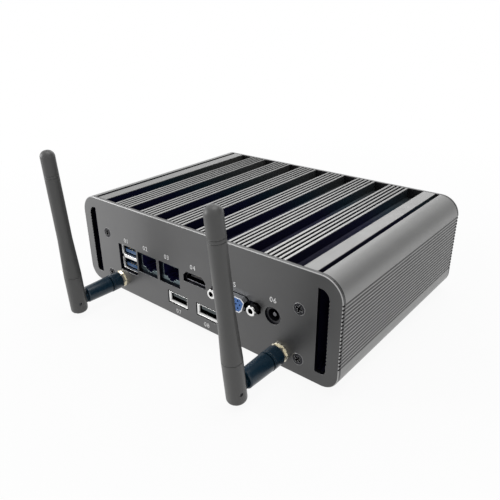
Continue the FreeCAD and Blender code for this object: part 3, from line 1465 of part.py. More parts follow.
def make_lead(name, points):
    """A lead of straight runs joined by tangent arcs."""
    route = [Vector(*point) for point in points]
    edges = []
    here = route[0]
    for before, corner, after in zip(route, route[1:], route[2:]):
        into = (corner - before).normalize()
        out = (after - corner).normalize()
        turn = into.getAngle(out)
        reach = BEND_SHARE * min((corner - before).Length, (after - corner).Length)
        first = corner - into * reach
        last = corner + out * reach
        bisector = (out - into).normalize()
        radius = reach / math.tan(turn / 2)
        if radius < LEAST_BEND:
            raise RuntimeError(f"{name}: a bend of {radius:.1f} mm is too tight")
        middle = corner + bisector * (radius / math.cos(turn / 2) - radius)
        edges.append(Part.LineSegment(here, first).toShape())
        edges.append(Part.Arc(first, middle, last).toShape())
        here = last
    edges.append(Part.LineSegment(here, route[-1]).toShape())
    path = Part.Wire(edges)
    ring = Part.Wire(Part.Circle(route[0], route[1] - route[0], number(s.lead_radius)).toShape())
    solid = path.makePipeShell([ring], True, True)
    expected = math.pi * number(s.lead_radius) ** 2 * path.Length
    if abs(solid.Volume / expected - 1) > 0.01:
        raise RuntimeError(f"{name}: the lead's volume is not its section times its length")
    lead = doc.addObject("Part::Feature", name)
    lead.Shape = solid
    keep(name, lead)


# ---------------------------------------------------------------- assembly

make_housing()
make_io_plate()
make_rear_plate()
make_base_plate()
make_feet()
make_plate_screws()
make_base_screws()
make_mainboard()
make_board_posts()
make_board_screws()
make_processor()
make_heat_block()
make_block_screws()
make_memory()
make_wireless()
make_coin_cell()
make_drive()
make_daughter_board()
make_stack()
make_lan_jack(1, s.lan_first_x)
make_lan_jack(2, s.lan_second_x)
make_video_port()
make_single_usb("left", s.single_left_x)
make_single_usb("right", s.single_right_x)
make_vga()
make_power_socket()
make_power_button()
for side, name, tilt in ((-1, "left", s.tilt_left), (1, "right", s.tilt_right)):
    make_antenna_base(side, name)
    make_coupling(side, name)
    make_arm(side, name)
    make_blade(side, name, tilt)
    make_lead(f"antenna_lead_{name}", lead_points(side, name))

doc.recompute()
for thing in doc.Objects:
    if "Invalid" in thing.State or "Error" in thing.State:
        raise RuntimeError(f"{thing.Name} is {thing.State}")
os.makedirs("parts", exist_ok=True)
for name, thing in nodes.items():
    if thing.Shape.isNull() or not thing.Shape.isValid() or not thing.Shape.Solids:
        raise RuntimeError(f"{name} has no valid solid")
for name, thing in nodes.items():
    thing.Shape.exportStep(f"parts/{name}.step")
print(f"{len(nodes)} sub-parts written")
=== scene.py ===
import json
import math

import bmesh
import bpy
from mathutils import Matrix, Vector

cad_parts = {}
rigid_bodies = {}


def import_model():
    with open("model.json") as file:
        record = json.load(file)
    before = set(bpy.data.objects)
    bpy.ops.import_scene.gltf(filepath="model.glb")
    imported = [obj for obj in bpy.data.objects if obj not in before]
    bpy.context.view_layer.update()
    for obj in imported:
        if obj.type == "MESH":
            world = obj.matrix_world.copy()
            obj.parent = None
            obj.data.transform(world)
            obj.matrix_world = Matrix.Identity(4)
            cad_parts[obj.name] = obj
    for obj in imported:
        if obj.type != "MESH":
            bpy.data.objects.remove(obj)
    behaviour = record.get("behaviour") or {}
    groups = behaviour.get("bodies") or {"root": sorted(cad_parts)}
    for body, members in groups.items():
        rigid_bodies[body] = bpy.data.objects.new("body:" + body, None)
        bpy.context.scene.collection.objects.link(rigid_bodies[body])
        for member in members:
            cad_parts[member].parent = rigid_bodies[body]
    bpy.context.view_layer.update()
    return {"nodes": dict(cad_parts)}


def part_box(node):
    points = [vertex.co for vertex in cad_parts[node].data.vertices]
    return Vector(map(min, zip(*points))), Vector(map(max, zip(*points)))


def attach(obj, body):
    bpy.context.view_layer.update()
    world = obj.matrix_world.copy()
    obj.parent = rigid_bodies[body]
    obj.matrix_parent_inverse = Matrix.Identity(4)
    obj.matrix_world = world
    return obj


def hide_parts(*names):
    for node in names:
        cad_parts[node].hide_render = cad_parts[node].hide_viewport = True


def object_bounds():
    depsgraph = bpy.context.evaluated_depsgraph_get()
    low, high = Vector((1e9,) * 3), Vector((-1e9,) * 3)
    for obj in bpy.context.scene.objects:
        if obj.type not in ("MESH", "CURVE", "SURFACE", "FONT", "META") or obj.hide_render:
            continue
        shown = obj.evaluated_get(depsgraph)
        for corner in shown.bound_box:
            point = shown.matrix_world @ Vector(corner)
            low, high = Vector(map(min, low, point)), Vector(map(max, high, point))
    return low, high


for leftover in list(bpy.data.objects):
    bpy.data.objects.remove(leftover)
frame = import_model()


# ---- Housing -------------------------------------------------------------------
# One aluminium extrusion, bead-blasted and anodised dark grey. Its roof is the heat
# sink: fins in groups between wide channels. The end plates are screwed to its ends.

def make_node(tree, kind, inputs, **settings):
    """A node of a shader or geometry tree, with its sockets set or linked."""
    node = tree.nodes.new(kind)
    for name, value in settings.items():
        setattr(node, name, value)
    for socket, value in inputs.items():
        if isinstance(value, bpy.types.NodeSocket):
            tree.links.new(value, node.inputs[socket])
        else:
            node.inputs[socket].default_value = value
    return node


def calculate(tree, operation, first, second=0.0, third=0.0):
    """One step of arithmetic on up to three values."""
    node = make_node(tree, "ShaderNodeMath", {0: first, 1: second, 2: third}, operation=operation)
    return node.outputs[0]


def calculate_vector(tree, operation, first, second):
    """One step of arithmetic on two vectors or colours."""
    return make_node(tree, "ShaderNodeVectorMath", {0: first, 1: second}, operation=operation)


def spread(tree, value, start, end):
    """0 at the start and 1 at the end, and held beyond them."""
    node = make_node(tree, "ShaderNodeMapRange", {"Value": value, "From Min": start, "From Max": end})
    return node.outputs["Result"]


def all_of(tree, *masks):
    """The product of several masks."""
    result = masks[0]
    for mask in masks[1:]:
        result = calculate(tree, "MULTIPLY", result, mask)
    return result


def over(tree, value, limit):
    return calculate(tree, "GREATER_THAN", value, limit)


def under(tree, value, limit):
    return calculate(tree, "LESS_THAN", value, limit)


def between(tree, value, low, high):
    return all_of(tree, over(tree, value, low), under(tree, value, high))


def magnitude(tree, value):
    return calculate(tree, "ABSOLUTE", value)


def object_place(tree):
    """The point that is shaded, in the object's own frame."""
    return make_node(tree, "ShaderNodeTexCoord", {}).outputs["Object"]


def object_axes(tree):
    """X, Y and Z of the point that is shaded."""
    return make_node(tree, "ShaderNodeSeparateXYZ", {0: object_place(tree)}).outputs


def facing(tree):
    """X, Y and Z of the direction that the face points in."""
    normal = make_node(tree, "ShaderNodeNewGeometry", {}).outputs["True Normal"]
    return make_node(tree, "ShaderNodeSeparateXYZ", {0: normal}).outputs


def mix_colours(tree, mask, low, high):
    """From the low to the high colour as the mask goes from 0 to 1."""
    node = make_node(tree, "ShaderNodeMix", {0: mask}, data_type="RGBA")
    for index, colour in ((6, low), (7, high)):
        if isinstance(colour, bpy.types.NodeSocket):
            tree.links.new(colour, node.inputs[index])
        else:
            node.inputs[index].default_value = (*colour, 1.0)
    return node.outputs[2]


def partly(tree, mask, share):
    """A mask that reaches only a share of 1."""
    return calculate(tree, "MULTIPLY", mask, share)


def shader_group(name, inputs, outputs):
    """An empty group of shader nodes with named value inputs and outputs."""
    tree = bpy.data.node_groups.new(name, "ShaderNodeTree")
    for label, default in inputs.items():
        socket = tree.interface.new_socket(label, in_out="INPUT", socket_type="NodeSocketFloat")
        socket.default_value = default
    for label, kind in outputs.items():
        tree.interface.new_socket(label, in_out="OUTPUT", socket_type=kind)
    return tree, tree.nodes.new("NodeGroupInput"), tree.nodes.new("NodeGroupOutput")


def noise(tree, scale, detail, roughness, distortion=0.0):
    """Noise in the object's own frame, about 0.5 on average."""
    node = make_node(tree, "ShaderNodeTexNoise",
                     {"Vector": object_place(tree), "Scale": scale, "Detail": detail,
                      "Roughness": roughness, "Distortion": distortion})
    return node.outputs["Fac"]


def make_grain():
    """Fine pits, slow clouds of tone, and smudges where the piece has been handled."""
    cloud_weight = 0.6
    pit_weight = 0.4
    smudge_fineness = 2.3
    smudge_start = 0.52
    smudge_full = 0.72
    tree, given, out = shader_group(
        "surface grain",
        {"Grain Size": 0.0003, "Cloud Size": 0.02},
        {"Tone": "NodeSocketFloat", "Pits": "NodeSocketFloat", "Smudge": "NodeSocketFloat"})
    fine_scale = calculate(tree, "DIVIDE", 1.0, given.outputs["Grain Size"])
    wide_scale = calculate(tree, "DIVIDE", 1.0, given.outputs["Cloud Size"])
    smudge_scale = calculate(tree, "MULTIPLY", wide_scale, smudge_fineness)
    pits = noise(tree, fine_scale, 2.0, 0.6)
    clouds = noise(tree, wide_scale, 4.0, 0.55)
    touched = noise(tree, smudge_scale, 3.0, 0.5, 0.8)
    tone = calculate(tree, "MULTIPLY_ADD", clouds, cloud_weight, -cloud_weight / 2)
    tone = calculate(tree, "MULTIPLY_ADD", pits, pit_weight,
                     calculate(tree, "SUBTRACT", tone, pit_weight / 2))
    tree.links.new(tone, out.inputs["Tone"])
    tree.links.new(pits, out.inputs["Pits"])
    tree.links.new(spread(tree, touched, smudge_start, smudge_full), out.inputs["Smudge"])
    return tree


def make_edges():
    """Rounds every sharp edge in the shading, and masks outer edges, where a finish wears and where a
    painted highlight goes.
    """
    flat_dot = 0.995
    wear_and_highlight_dot = 0.75
    tree, given, out = shader_group(
        "soft edges", {"Radius": 0.0002},
        {"Edge": "NodeSocketFloat", "Normal": "NodeSocketVector"})
    bevel = make_node(tree, "ShaderNodeBevel", {"Radius": given.outputs["Radius"]}, samples=6).outputs[0]
    true = make_node(tree, "ShaderNodeNewGeometry", {}).outputs["True Normal"]
    dot = calculate_vector(tree, "DOT_PRODUCT", bevel, true).outputs["Value"]
    tree.links.new(spread(tree, dot, flat_dot, wear_and_highlight_dot), out.inputs["Edge"])
    tree.links.new(bevel, out.inputs["Normal"])
    return tree


def make_dust():
    """A thin film of dust in patches on faces that point up."""
    patch_scale = 90.0
    bare_below = 0.35
    full_above = 0.75
    steepest = 0.3
    nearly_level = 0.95
    tree, given, out = shader_group("settled dust", {"Amount": 0.2}, {"Dust": "NodeSocketFloat"})
    patches = spread(tree, noise(tree, patch_scale, 6.0, 0.7), bare_below, full_above)
    upwards = spread(tree, facing(tree)["Z"], steepest, nearly_level)
    film = all_of(tree, patches, upwards, given.outputs["Amount"])
    tree.links.new(film, out.inputs["Dust"])
    return tree


GRAIN = make_grain()
EDGES = make_edges()
DUST = make_dust()
DUST_GREY = (0.42, 0.41, 0.39)
COAT_ROUGHNESS = 0.15
PIT_DEPTH_SHARE = 0.3


def placed_group(tree, group, **values):
    """A shared group in a material, with the material's own values."""
    node = make_node(tree, "ShaderNodeGroup", {}, node_tree=group)
    for label, value in values.items():
        node.inputs[label.replace("_", " ")].default_value = value
    return node.outputs


def new_material(name):
    """A material with only a Principled shader, its tree and that shader."""
    material = bpy.data.materials.new(name)
    material.use_nodes = True
    tree = material.node_tree
    shader = next(node for node in tree.nodes if node.type == "BSDF_PRINCIPLED")
    return material, tree, shader


def grainy(name, colour, edge_wear_and_highlight_colour, roughness, metallic, grain=0.0003, bump=0.15, edge=0.0002, clouds=0.3,
           edge_wear_and_highlight=0.5, dust=0.08, coat=0.0, specular=0.5, paint=None):
    """A fine-grained finish with paler edges, partly where the finish wears and partly a painted highlight.
    paint(tree, colour) may change the base colour.
    """
    material, tree, shader = new_material(name)
    grains = placed_group(tree, GRAIN, Grain_Size=grain)
    edges = placed_group(tree, EDGES, Radius=edge)
    settled = placed_group(tree, DUST, Amount=dust)["Dust"]

    tint = calculate(tree, "MULTIPLY_ADD", grains["Tone"], clouds, 1.0)
    base = calculate_vector(tree, "MULTIPLY", colour, tint).outputs[0]
    # Paler edges: partly where the finish wears, partly a painted highlight.
    base = mix_colours(tree, partly(tree, edges["Edge"], edge_wear_and_highlight), base, edge_wear_and_highlight_colour)
    if paint:
        base = paint(tree, base)
    base = mix_colours(tree, settled, base, DUST_GREY)
    tree.links.new(base, shader.inputs["Base Color"])

    pit_share = 0.10
    smudge_share = -0.05
    rough = calculate(tree, "MULTIPLY_ADD", grains["Pits"], pit_share, roughness - pit_share / 2)
    rough = calculate(tree, "MULTIPLY_ADD", grains["Smudge"], smudge_share, rough)
    rough = calculate(tree, "ADD", rough, settled)
    tree.links.new(rough, shader.inputs["Roughness"])

    metal = partly(tree, calculate(tree, "SUBTRACT", 1.0, settled), metallic)
    tree.links.new(metal, shader.inputs["Metallic"])
    shader.inputs["Coat Weight"].default_value = coat
    shader.inputs["Coat Roughness"].default_value = COAT_ROUGHNESS
    shader.inputs["Specular IOR Level"].default_value = specular

    pits = make_node(tree, "ShaderNodeBump",
                     {"Strength": bump, "Distance": grain * PIT_DEPTH_SHARE, "Height": grains["Pits"],
                      "Normal": edges["Normal"]})
    tree.links.new(pits.outputs[0], shader.inputs["Normal"])
    return material


def dress(material, *names):
    """Gives CAD nodes their finish."""
    for name in names:
        mesh = frame["nodes"][name].data
        mesh.materials.clear()
        mesh.materials.append(material)


roof_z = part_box("housing")[1].z
channel_pitch = 0.0212
channel_wall_x = 0.00465
channel_floor_depth = 0.0051
groove_depth = 0.0085
tip_fade_start = 0.0002
tip_fade_end = 0.0006
top_skin = 0.0001
fin_field_x = 0.0683
edge_groove_x = 0.0777
rib_foot_x = 0.0881
rib_low_z = 0.010
rib_high_z = 0.046
duct_inner_x = 0.0753
duct_outer_x = 0.0862
duct_low_z = 0.0038
duct_high_z = 0.0503
glint_width = 0.0004
glint_from_wall = 0.0010
ramp_front_y = -0.075
ramp_rear_y = 0.080
ramp_lean = 0.38
rib_groove_shade_strength = 0.42

# Painted shade and reflection on the sunk faces, from the front right to the rear left, then the other tones
# of painted light and shade.
SUNK_SHADE_TONES = [(0.0, (0.005, 0.004, 0.026)), (0.40, (0.006, 0.008, 0.046)), (0.56, (0.010, 0.034, 0.056)),
              (0.72, (0.050, 0.062, 0.068)), (1.0, (0.125, 0.125, 0.122))]
GLINT_TONE = (0.075, 0.08, 0.09)
NEAR_FIN_HIGHLIGHT = (0.48, 0.48, 0.475)
FAR_FIN_SHADE = (0.115, 0.115, 0.112)
RIB_GROOVE_SHADE_TONE = (0.055, 0.055, 0.06)
DUCT_SHADE_TONE = (0.030, 0.026, 0.085)


def colour_ramp(tree, value, stops):
    """A colour for each share of the way."""
    node = make_node(tree, "ShaderNodeValToRGB", {0: value})
    band = node.color_ramp
    band.elements.remove(band.elements[1])
    band.elements[0].position = stops[0][0]
    band.elements[0].color = (*stops[0][1], 1.0)
    for position, tone in stops[1:]:
        band.elements.new(position).color = (*tone, 1.0)
    return node.outputs["Color"]


def roof_and_grooves(tree, colour):
    """Painted shade and reflection: dark channels that pale towards the rear, dark gaps, grooves and ducts,
    a painted glint line in each channel, fin tops with a painted highlight at the front and painted shade at
    the rear, and painted shade between the side ribs.
    """
    at = object_axes(tree)
    way = facing(tree)
    across = magnitude(tree, at["X"])
    sideways = calculate(tree, "MULTIPLY", at["X"], ramp_lean)
    along = calculate(tree, "SUBTRACT", at["Y"], sideways)
    rear_share = spread(tree, along, ramp_front_y, ramp_rear_y)

    # Painted shade and reflection on every face below the roof's top: channels, gaps and grooves.
    below_top = spread(tree, at["Z"], roof_z - tip_fade_start, roof_z - tip_fade_end)
    in_roof = all_of(tree, over(tree, at["Z"], roof_z - groove_depth), under(tree, across, edge_groove_x))
    sunk = all_of(tree, below_top, in_roof)
    # A painted glint: a pale line on each channel's floor, near the foot of one wall.
    from_middle = calculate(tree, "WRAP", at["X"], -channel_pitch / 2, channel_pitch / 2)
    glint_x = channel_wall_x - glint_from_wall
    painted_glint = all_of(tree, between(tree, from_middle, glint_x, glint_x + glint_width), over(tree, way["Z"], 0.5),
                  under(tree, at["Z"], roof_z - channel_floor_depth))
    sunk_shade = mix_colours(tree, painted_glint, colour_ramp(tree, rear_share, SUNK_SHADE_TONES), GLINT_TONE)
    colour = mix_colours(tree, sunk, colour, sunk_shade)

    # Painted light on the fin tops: a painted highlight at the front right, painted shade towards the rear
    # left.
    fin_top = all_of(tree, over(tree, at["Z"], roof_z - top_skin), under(tree, across, fin_field_x))
    colour = mix_colours(tree, fin_top, colour, mix_colours(tree, rear_share, NEAR_FIN_HIGHLIGHT, FAR_FIN_SHADE))

    # Painted shade in the grooves between the side ribs.
    rib_groove_shade = all_of(tree, over(tree, across, rib_foot_x), over(tree, magnitude(tree, way["Z"]), 0.4),
                     between(tree, at["Z"], rib_low_z, rib_high_z))
    colour = mix_colours(tree, partly(tree, rib_groove_shade, rib_groove_shade_strength), colour, RIB_GROOVE_SHADE_TONE)
    # Painted shade inside the ducts.
    in_duct = all_of(tree, between(tree, across, duct_inner_x, duct_outer_x),
                     between(tree, at["Z"], duct_low_z, duct_high_z))
    return mix_colours(tree, in_duct, colour, DUCT_SHADE_TONE)


case_coat = grainy("case coat", (0.28, 0.28, 0.278), (0.46, 0.46, 0.455), roughness=0.42, metallic=0.62,
                   clouds=0.22, paint=roof_and_grooves)
dress(case_coat, "housing")


# ---- End plates and base plate ---------------------------------------------------
# Laser-cut 2 mm aluminium plates, satin anodised a little darker than the housing,
# with a bevelled rim. Countersunk cross-head screws hold them in the screw ports.

plate_low, plate_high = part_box("io_plate")
plate_out = -plate_low.y
plate_in = -plate_high.y
joint_width = 0.00028
cutouts_x = 0.0838
cutouts_low_z = 0.003
cutouts_high_z = 0.0535
notch_x = 0.0883
notch_low_z = 0.0116
notch_high_z = 0.0446
inner_skin = 0.0001
shade_right_x = 0.075
shade_gain = 0.75
shade_at_right = 0.66
bevel_low = 0.3
bevel_high = 0.96
rim_highlight_strength = 0.7
head_skin = 0.0002
recess_depth = 0.0012
base_screw_reach_y = 0.058

RIM_HIGHLIGHT_TONE = (0.55, 0.55, 0.55)
CUT_SHADE_TONE = (0.010, 0.011, 0.020)
NOTCH_SHADE_TONE = (0.010, 0.010, 0.012)
JOINT_TONE = (0.006, 0.006, 0.007)
INNER_FACE_SHADE_TONE = (0.03, 0.03, 0.032)
RECESS_SHADE_TONE = (0.004, 0.004, 0.005)


def cut_edges(tree, colour):
    """Painted light paler to the left, a painted highlight on the bevel, painted shade on the cuts, notches
    and inner face, and a dark joint line.
    """
    at = object_axes(tree)
    way = facing(tree)
    across = magnitude(tree, at["X"])
    out = magnitude(tree, at["Y"])
    outwards = magnitude(tree, way["Y"])
    sideways = under(tree, outwards, 0.5)

    # Painted light: paler towards the plate's left end, darker to the right.
    to_the_left = spread(tree, at["X"], shade_right_x, plate_low.x)
    shade = calculate(tree, "MULTIPLY_ADD", to_the_left, shade_gain, shade_at_right)
    colour = calculate_vector(tree, "MULTIPLY", colour, shade).outputs[0]

    bevelled = between(tree, outwards, bevel_low, bevel_high)
    hole_wall = all_of(tree, sideways, under(tree, across, cutouts_x),
                       between(tree, at["Z"], cutouts_low_z, cutouts_high_z))
    notch = all_of(tree, over(tree, across, notch_x), over(tree, magnitude(tree, way["Z"]), 0.3), sideways,
                   between(tree, at["Z"], notch_low_z, notch_high_z))
    joint = all_of(tree, under(tree, out, plate_in + joint_width), sideways)
    hidden = all_of(tree, under(tree, out, plate_in + inner_skin), over(tree, outwards, 0.9))
    # A painted highlight on the bevelled rim.
    colour = mix_colours(tree, partly(tree, bevelled, rim_highlight_strength), colour, RIM_HIGHLIGHT_TONE)
    # Painted shade on the walls of the cut-outs and in the notches.
    colour = mix_colours(tree, hole_wall, colour, CUT_SHADE_TONE)
    colour = mix_colours(tree, notch, colour, NOTCH_SHADE_TONE)
    colour = mix_colours(tree, joint, colour, JOINT_TONE)
    # Painted shade on the plate's inner face.
    return mix_colours(tree, hidden, colour, INNER_FACE_SHADE_TONE)


plate_coat = grainy("plate coat", (0.135, 0.135, 0.136), (0.50, 0.50, 0.50), roughness=0.40, metallic=0.78,
                    grain=0.00022, edge=0.00022, clouds=0.25, edge_wear_and_highlight=0.8, paint=cut_edges)
dress(plate_coat, "io_plate", "rear_plate")
base_coat = grainy("base coat", (0.12, 0.12, 0.125), (0.35, 0.35, 0.35), roughness=0.5, metallic=0.3)
dress(base_coat, "base_plate")


def dark_recess(tree, colour):
    """Painted black shade in the cross recesses, a little below the heads' faces."""
    at = object_axes(tree)
    out = magnitude(tree, at["Y"])
    in_plate = between(tree, out, plate_out - recess_depth, plate_out - head_skin)
    in_base = all_of(tree, between(tree, at["Z"], head_skin, recess_depth),
                     under(tree, out, base_screw_reach_y))
    inside = calculate(tree, "MINIMUM", calculate(tree, "ADD", in_plate, in_base), 1.0)
    return mix_colours(tree, inside, colour, RECESS_SHADE_TONE)


# Dark screws whose pale rims are partly where the finish wears and partly a painted highlight.
screw_steel = grainy("screw steel", (0.028, 0.028, 0.032), (0.75, 0.75, 0.75), roughness=0.32, metallic=0.9,
                     grain=0.00015, bump=0.08, edge_wear_and_highlight=0.9, paint=dark_recess)
dress(screw_steel, "plate_screws", "base_screws")


# ---- Rubber feet -------------------------------------------------------------------
# Four moulded black rubber feet, each dished underneath, with a rounded tread and
# stuck to the base plate beside the mounting holes.

def link_piece(name, mesh, material, body):
    """An object for a finished mesh, which takes the material and rides on the body."""
    mesh.materials.clear()
    mesh.materials.append(material)
    piece = bpy.data.objects.new(name, mesh)
    bpy.context.scene.collection.objects.link(piece)
    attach(piece, body)
    return piece


def turned_mesh(name, outline, centres, segments=48):
    """Closed turned solids about upright axes. The outline runs from the axis to the axis."""
    turns = [2 * math.pi * step / segments for step in range(segments)]
    shape = bmesh.new()
    for centre in centres:
        rings = []
        for radius, height in outline:
            angles = turns if radius else turns[:1]
            rings.append([shape.verts.new(centre + Vector((radius * math.cos(turn), radius * math.sin(turn),
                                                           height)))
                          for turn in angles])
        for near, far in zip(rings, rings[1:]):
            for step in range(segments):
                after = (step + 1) % segments
                corners = [near[step % len(near)], near[after % len(near)], far[after % len(far)],
                           far[step % len(far)]]
                shape.faces.new(list(dict.fromkeys(corners)))
    bmesh.ops.recalc_face_normals(shape, faces=shape.faces)
    mesh = bpy.data.meshes.new(name)
    shape.to_mesh(mesh)
    shape.free()
    return mesh


foot_low, foot_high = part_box("feet")
foot_radius = 0.005
tread_z = foot_low.z - foot_high.z
dish_z = -0.0011
foot_outline = [
    (0, dish_z), (0.0016, dish_z), (0.0018, dish_z - 0.0002), (0.0021, tread_z + 0.0002),
    (0.0024, tread_z), (0.0042, tread_z), (0.0046, tread_z + 0.0002), (0.00485, tread_z + 0.0007),
    (foot_radius, -0.0006), (foot_radius, 0), (0, 0)]
foot_places = [Vector((x, y, foot_high.z))
               for x in (foot_low.x + foot_radius, foot_high.x - foot_radius)
               for y in (foot_low.y + foot_radius, foot_high.y - foot_radius)]
foot_rubber = grainy("foot rubber", (0.018, 0.018, 0.018), (0.05, 0.05, 0.05), roughness=0.75, metallic=0.0,
                     grain=0.0004, bump=0.3, dust=0.0)
foot_mesh = turned_mesh("foot_mouldings", foot_outline, foot_places)
feet = link_piece("foot_mouldings", foot_mesh, foot_rubber, "case")
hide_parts("feet")


# ---- Main board and the pieces on it ---------------------------------------------
# Green boards on posts under the roof, with a lidded processor below its pad and heat
# block. Memory, radio card and coin cell sit in holders, and the storage drive is
# screwed to the base plate.

TRACE_GREEN = (0.05, 0.22, 0.10)
MILLED_TONE = (0.42, 0.42, 0.43)
trace_scale = 120.0
scratch_scale = (3000.0, 60.0, 3000.0)


def board_traces(tree, colour):
    """Copper traces that show a little paler through the solder mask."""
    bricks = make_node(tree, "ShaderNodeTexBrick",
                       {"Vector": object_place(tree), "Scale": trace_scale, "Mortar Size": 0.03,
                        "Bias": 0.2})
    return mix_colours(tree, bricks.outputs["Fac"], colour, TRACE_GREEN)


def milled_lines(tree, colour):
    """Long fine scratches from the milling of a bare face."""
    drawn = make_node(tree, "ShaderNodeMapping",
                      {"Vector": object_place(tree), "Scale": scratch_scale})
    lines = make_node(tree, "ShaderNodeTexNoise", {"Vector": drawn.outputs[0], "Scale": 1.0, "Detail": 3.0})
    return mix_colours(tree, spread(tree, lines.outputs["Fac"], 0.4, 0.8), colour, MILLED_TONE)


board_green = grainy("solder mask", (0.012, 0.085, 0.035), (0.10, 0.30, 0.12), roughness=0.35, metallic=0.0,
                     paint=board_traces)
dress(board_green, "mainboard", "daughter_board", "memory_module", "wireless_card")
lid_metal = grainy("lid metal", (0.30, 0.31, 0.32), (0.6, 0.6, 0.6), roughness=0.35, metallic=0.9)
dress(lid_metal, "processor", "coin_cell")
pad_grey = grainy("thermal pad", (0.30, 0.32, 0.36), (0.4, 0.4, 0.45), roughness=0.8, metallic=0.0)
dress(pad_grey, "thermal_pad")
milled_aluminium = grainy("milled aluminium", (0.62, 0.62, 0.63), (0.8, 0.8, 0.8), roughness=0.32,
                          metallic=1.0, paint=milled_lines)
dress(milled_aluminium, "heat_block", "storage_drive")
nickel = grainy("nickel plate", (0.62, 0.61, 0.58), (0.88, 0.87, 0.84), roughness=0.22, metallic=1.0,
                grain=0.00012, bump=0.05, clouds=0.15, dust=0.02)
dress(nickel, "board_screws", "heat_block_screws", "board_posts", "daughter_board_posts")


# ---- Socket shells ---------------------------------------------------------------------
# Stamped shells of plated steel, soldered to the boards. Their mouths stand a little
# behind the plate's outer face, except the D-shaped one, which reaches through it.

SHADED_WALL = (0.012, 0.013, 0.018)
# Pale edge colour of the shells: partly where the finish wears, partly a painted highlight.
BRIGHT_EDGE = (0.95, 0.95, 0.94)
shade_start = 0.0005
shade_full = 0.0014


def shaded_shell(front_y, share):
    """Dark walls behind a shell's mouth, where little light comes in."""
    def paint(tree, colour):
        behind = spread(tree, object_axes(tree)["Y"], front_y + shade_start, front_y + shade_full)
        return mix_colours(tree, partly(tree, behind, share), colour, SHADED_WALL)
    return paint


for label, node, steel, share in (
        ("stack shell steel", "usb_stack_shell", (0.80, 0.80, 0.80), 0.8),
        ("usb left shell steel", "usb_2_left_shell", (0.80, 0.80, 0.79), 0.95),
        ("usb right shell steel", "usb_2_right_shell", (0.80, 0.80, 0.79), 0.95)):
    shell_metal = grainy(label, steel, BRIGHT_EDGE, roughness=0.22, metallic=1.0, grain=0.00012, bump=0.05,
                         clouds=0.15, dust=0.02, paint=shaded_shell(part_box(node)[0].y, share))
    dress(shell_metal, node)

network_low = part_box("lan_jack_1_shell")[0]
network_step_low_z = network_low.z + 0.0011
network_step_high_z = network_low.z + 0.0035
network_step_reach = 0.0024
step_light_strength = 0.55
face_skin = 0.00005
NETWORK_DEPTH_SHADE = (0.008, 0.009, 0.042)
NETWORK_STEP_LIGHT = (0.20, 0.26, 0.27)


def network_face(tree, colour):
    """Dull stamped face of a network socket, painted navy shade behind it, and painted light on the steps
    below its mouth.
    """
    at = object_axes(tree)
    front = under(tree, at["Y"], network_low.y + face_skin)
    # Painted navy shade on all but the front face.
    colour = mix_colours(tree, front, NETWORK_DEPTH_SHADE, colour)
    # Painted light on the steps below the mouth.
    step = all_of(tree, under(tree, at["Y"], network_low.y + network_step_reach),
                  over(tree, facing(tree)["Z"], -0.5),
                  between(tree, at["Z"], network_step_low_z, network_step_high_z))
    return mix_colours(tree, partly(tree, step, step_light_strength), colour, NETWORK_STEP_LIGHT)


network_shell = grainy("network shell steel", (0.020, 0.032, 0.045), (0.50, 0.58, 0.60), roughness=0.30,
                       metallic=0.9, grain=0.0002, bump=0.08, edge=0.00025, edge_wear_and_highlight=1.0, dust=0.0,
                       paint=network_face)
dress(network_shell, "lan_jack_1_shell", "lan_jack_2_shell")

video_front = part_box("video_port_shell")[0]
video_depth_start = 0.0006
lip_depth = 0.0004
lip_height = 0.0005
VIDEO_DEPTH_SHADE = (0.004, 0.004, 0.012)
VIDEO_LIP_HIGHLIGHT = (0.42, 0.42, 0.46)


def video_lip(tree, colour):
    """A painted highlight along the lower lip of the mouth, and painted black shade behind the whole mouth.
    """
    at = object_axes(tree)
    behind = over(tree, at["Y"], video_front.y + video_depth_start)
    colour = mix_colours(tree, behind, colour, VIDEO_DEPTH_SHADE)
    lower = all_of(tree, under(tree, at["Y"], video_front.y + lip_depth),
                   under(tree, at["Z"], video_front.z + lip_height))
    return mix_colours(tree, lower, colour, VIDEO_LIP_HIGHLIGHT)


# The shell's steel is painted nearly black, as painted shade.
video_shell = grainy("video shell steel", (0.012, 0.012, 0.018), (0.35, 0.35, 0.38), roughness=0.28,
                     metallic=0.9, grain=0.0002, bump=0.08, edge=0.0001, edge_wear_and_highlight=0.35, dust=0.0,
                     paint=video_lip)
dress(video_shell, "video_port_shell")

display_rim_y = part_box("vga_shell")[0].y
rim_depth = 0.0015
display_flange_y = plate_low.y + rim_depth
FLANGE_SHADE = (0.008, 0.008, 0.011)
SCREW_SIDE_SHADE = (0.05, 0.05, 0.055)


def dark_flange(tree, colour):
    """Bright rim in front of the plate, and painted black shade on the flange and can behind it."""
    return mix_colours(tree, over(tree, object_axes(tree)["Y"], display_flange_y), colour, FLANGE_SHADE)


def dark_side(tree, colour):
    """A bright face on each jack screw, and painted shade on the flats behind it."""
    return mix_colours(tree, over(tree, object_axes(tree)["Y"], display_rim_y), colour, SCREW_SIDE_SHADE)


display_shell = grainy("display shell steel", (0.70, 0.72, 0.76), BRIGHT_EDGE, roughness=0.20, metallic=1.0,
                       grain=0.00012, bump=0.05, clouds=0.15, dust=0.02, paint=dark_flange)
dress(display_shell, "vga_shell")
screw_nickel = grainy("jack screw nickel", (0.85, 0.85, 0.84), (0.97, 0.97, 0.96), roughness=0.22,
                      metallic=1.0, grain=0.00012, bump=0.05, clouds=0.15, dust=0.0, paint=dark_side)
dress(screw_nickel, "vga_jack_screws")
pin_steel = grainy("power pin", (0.13, 0.13, 0.14), (0.7, 0.7, 0.7), roughness=0.30, metallic=1.0,
                   grain=0.00012, bump=0.05)
dress(pin_steel, "dc_jack_pin")


# ---- Socket mouldings ------------------------------------------------------------------
# Moulded insulators pressed into the shells, each in its socket's usual colour: black,
# grey, navy or blue. The plain holders of memory, radio card and coin cell are black.

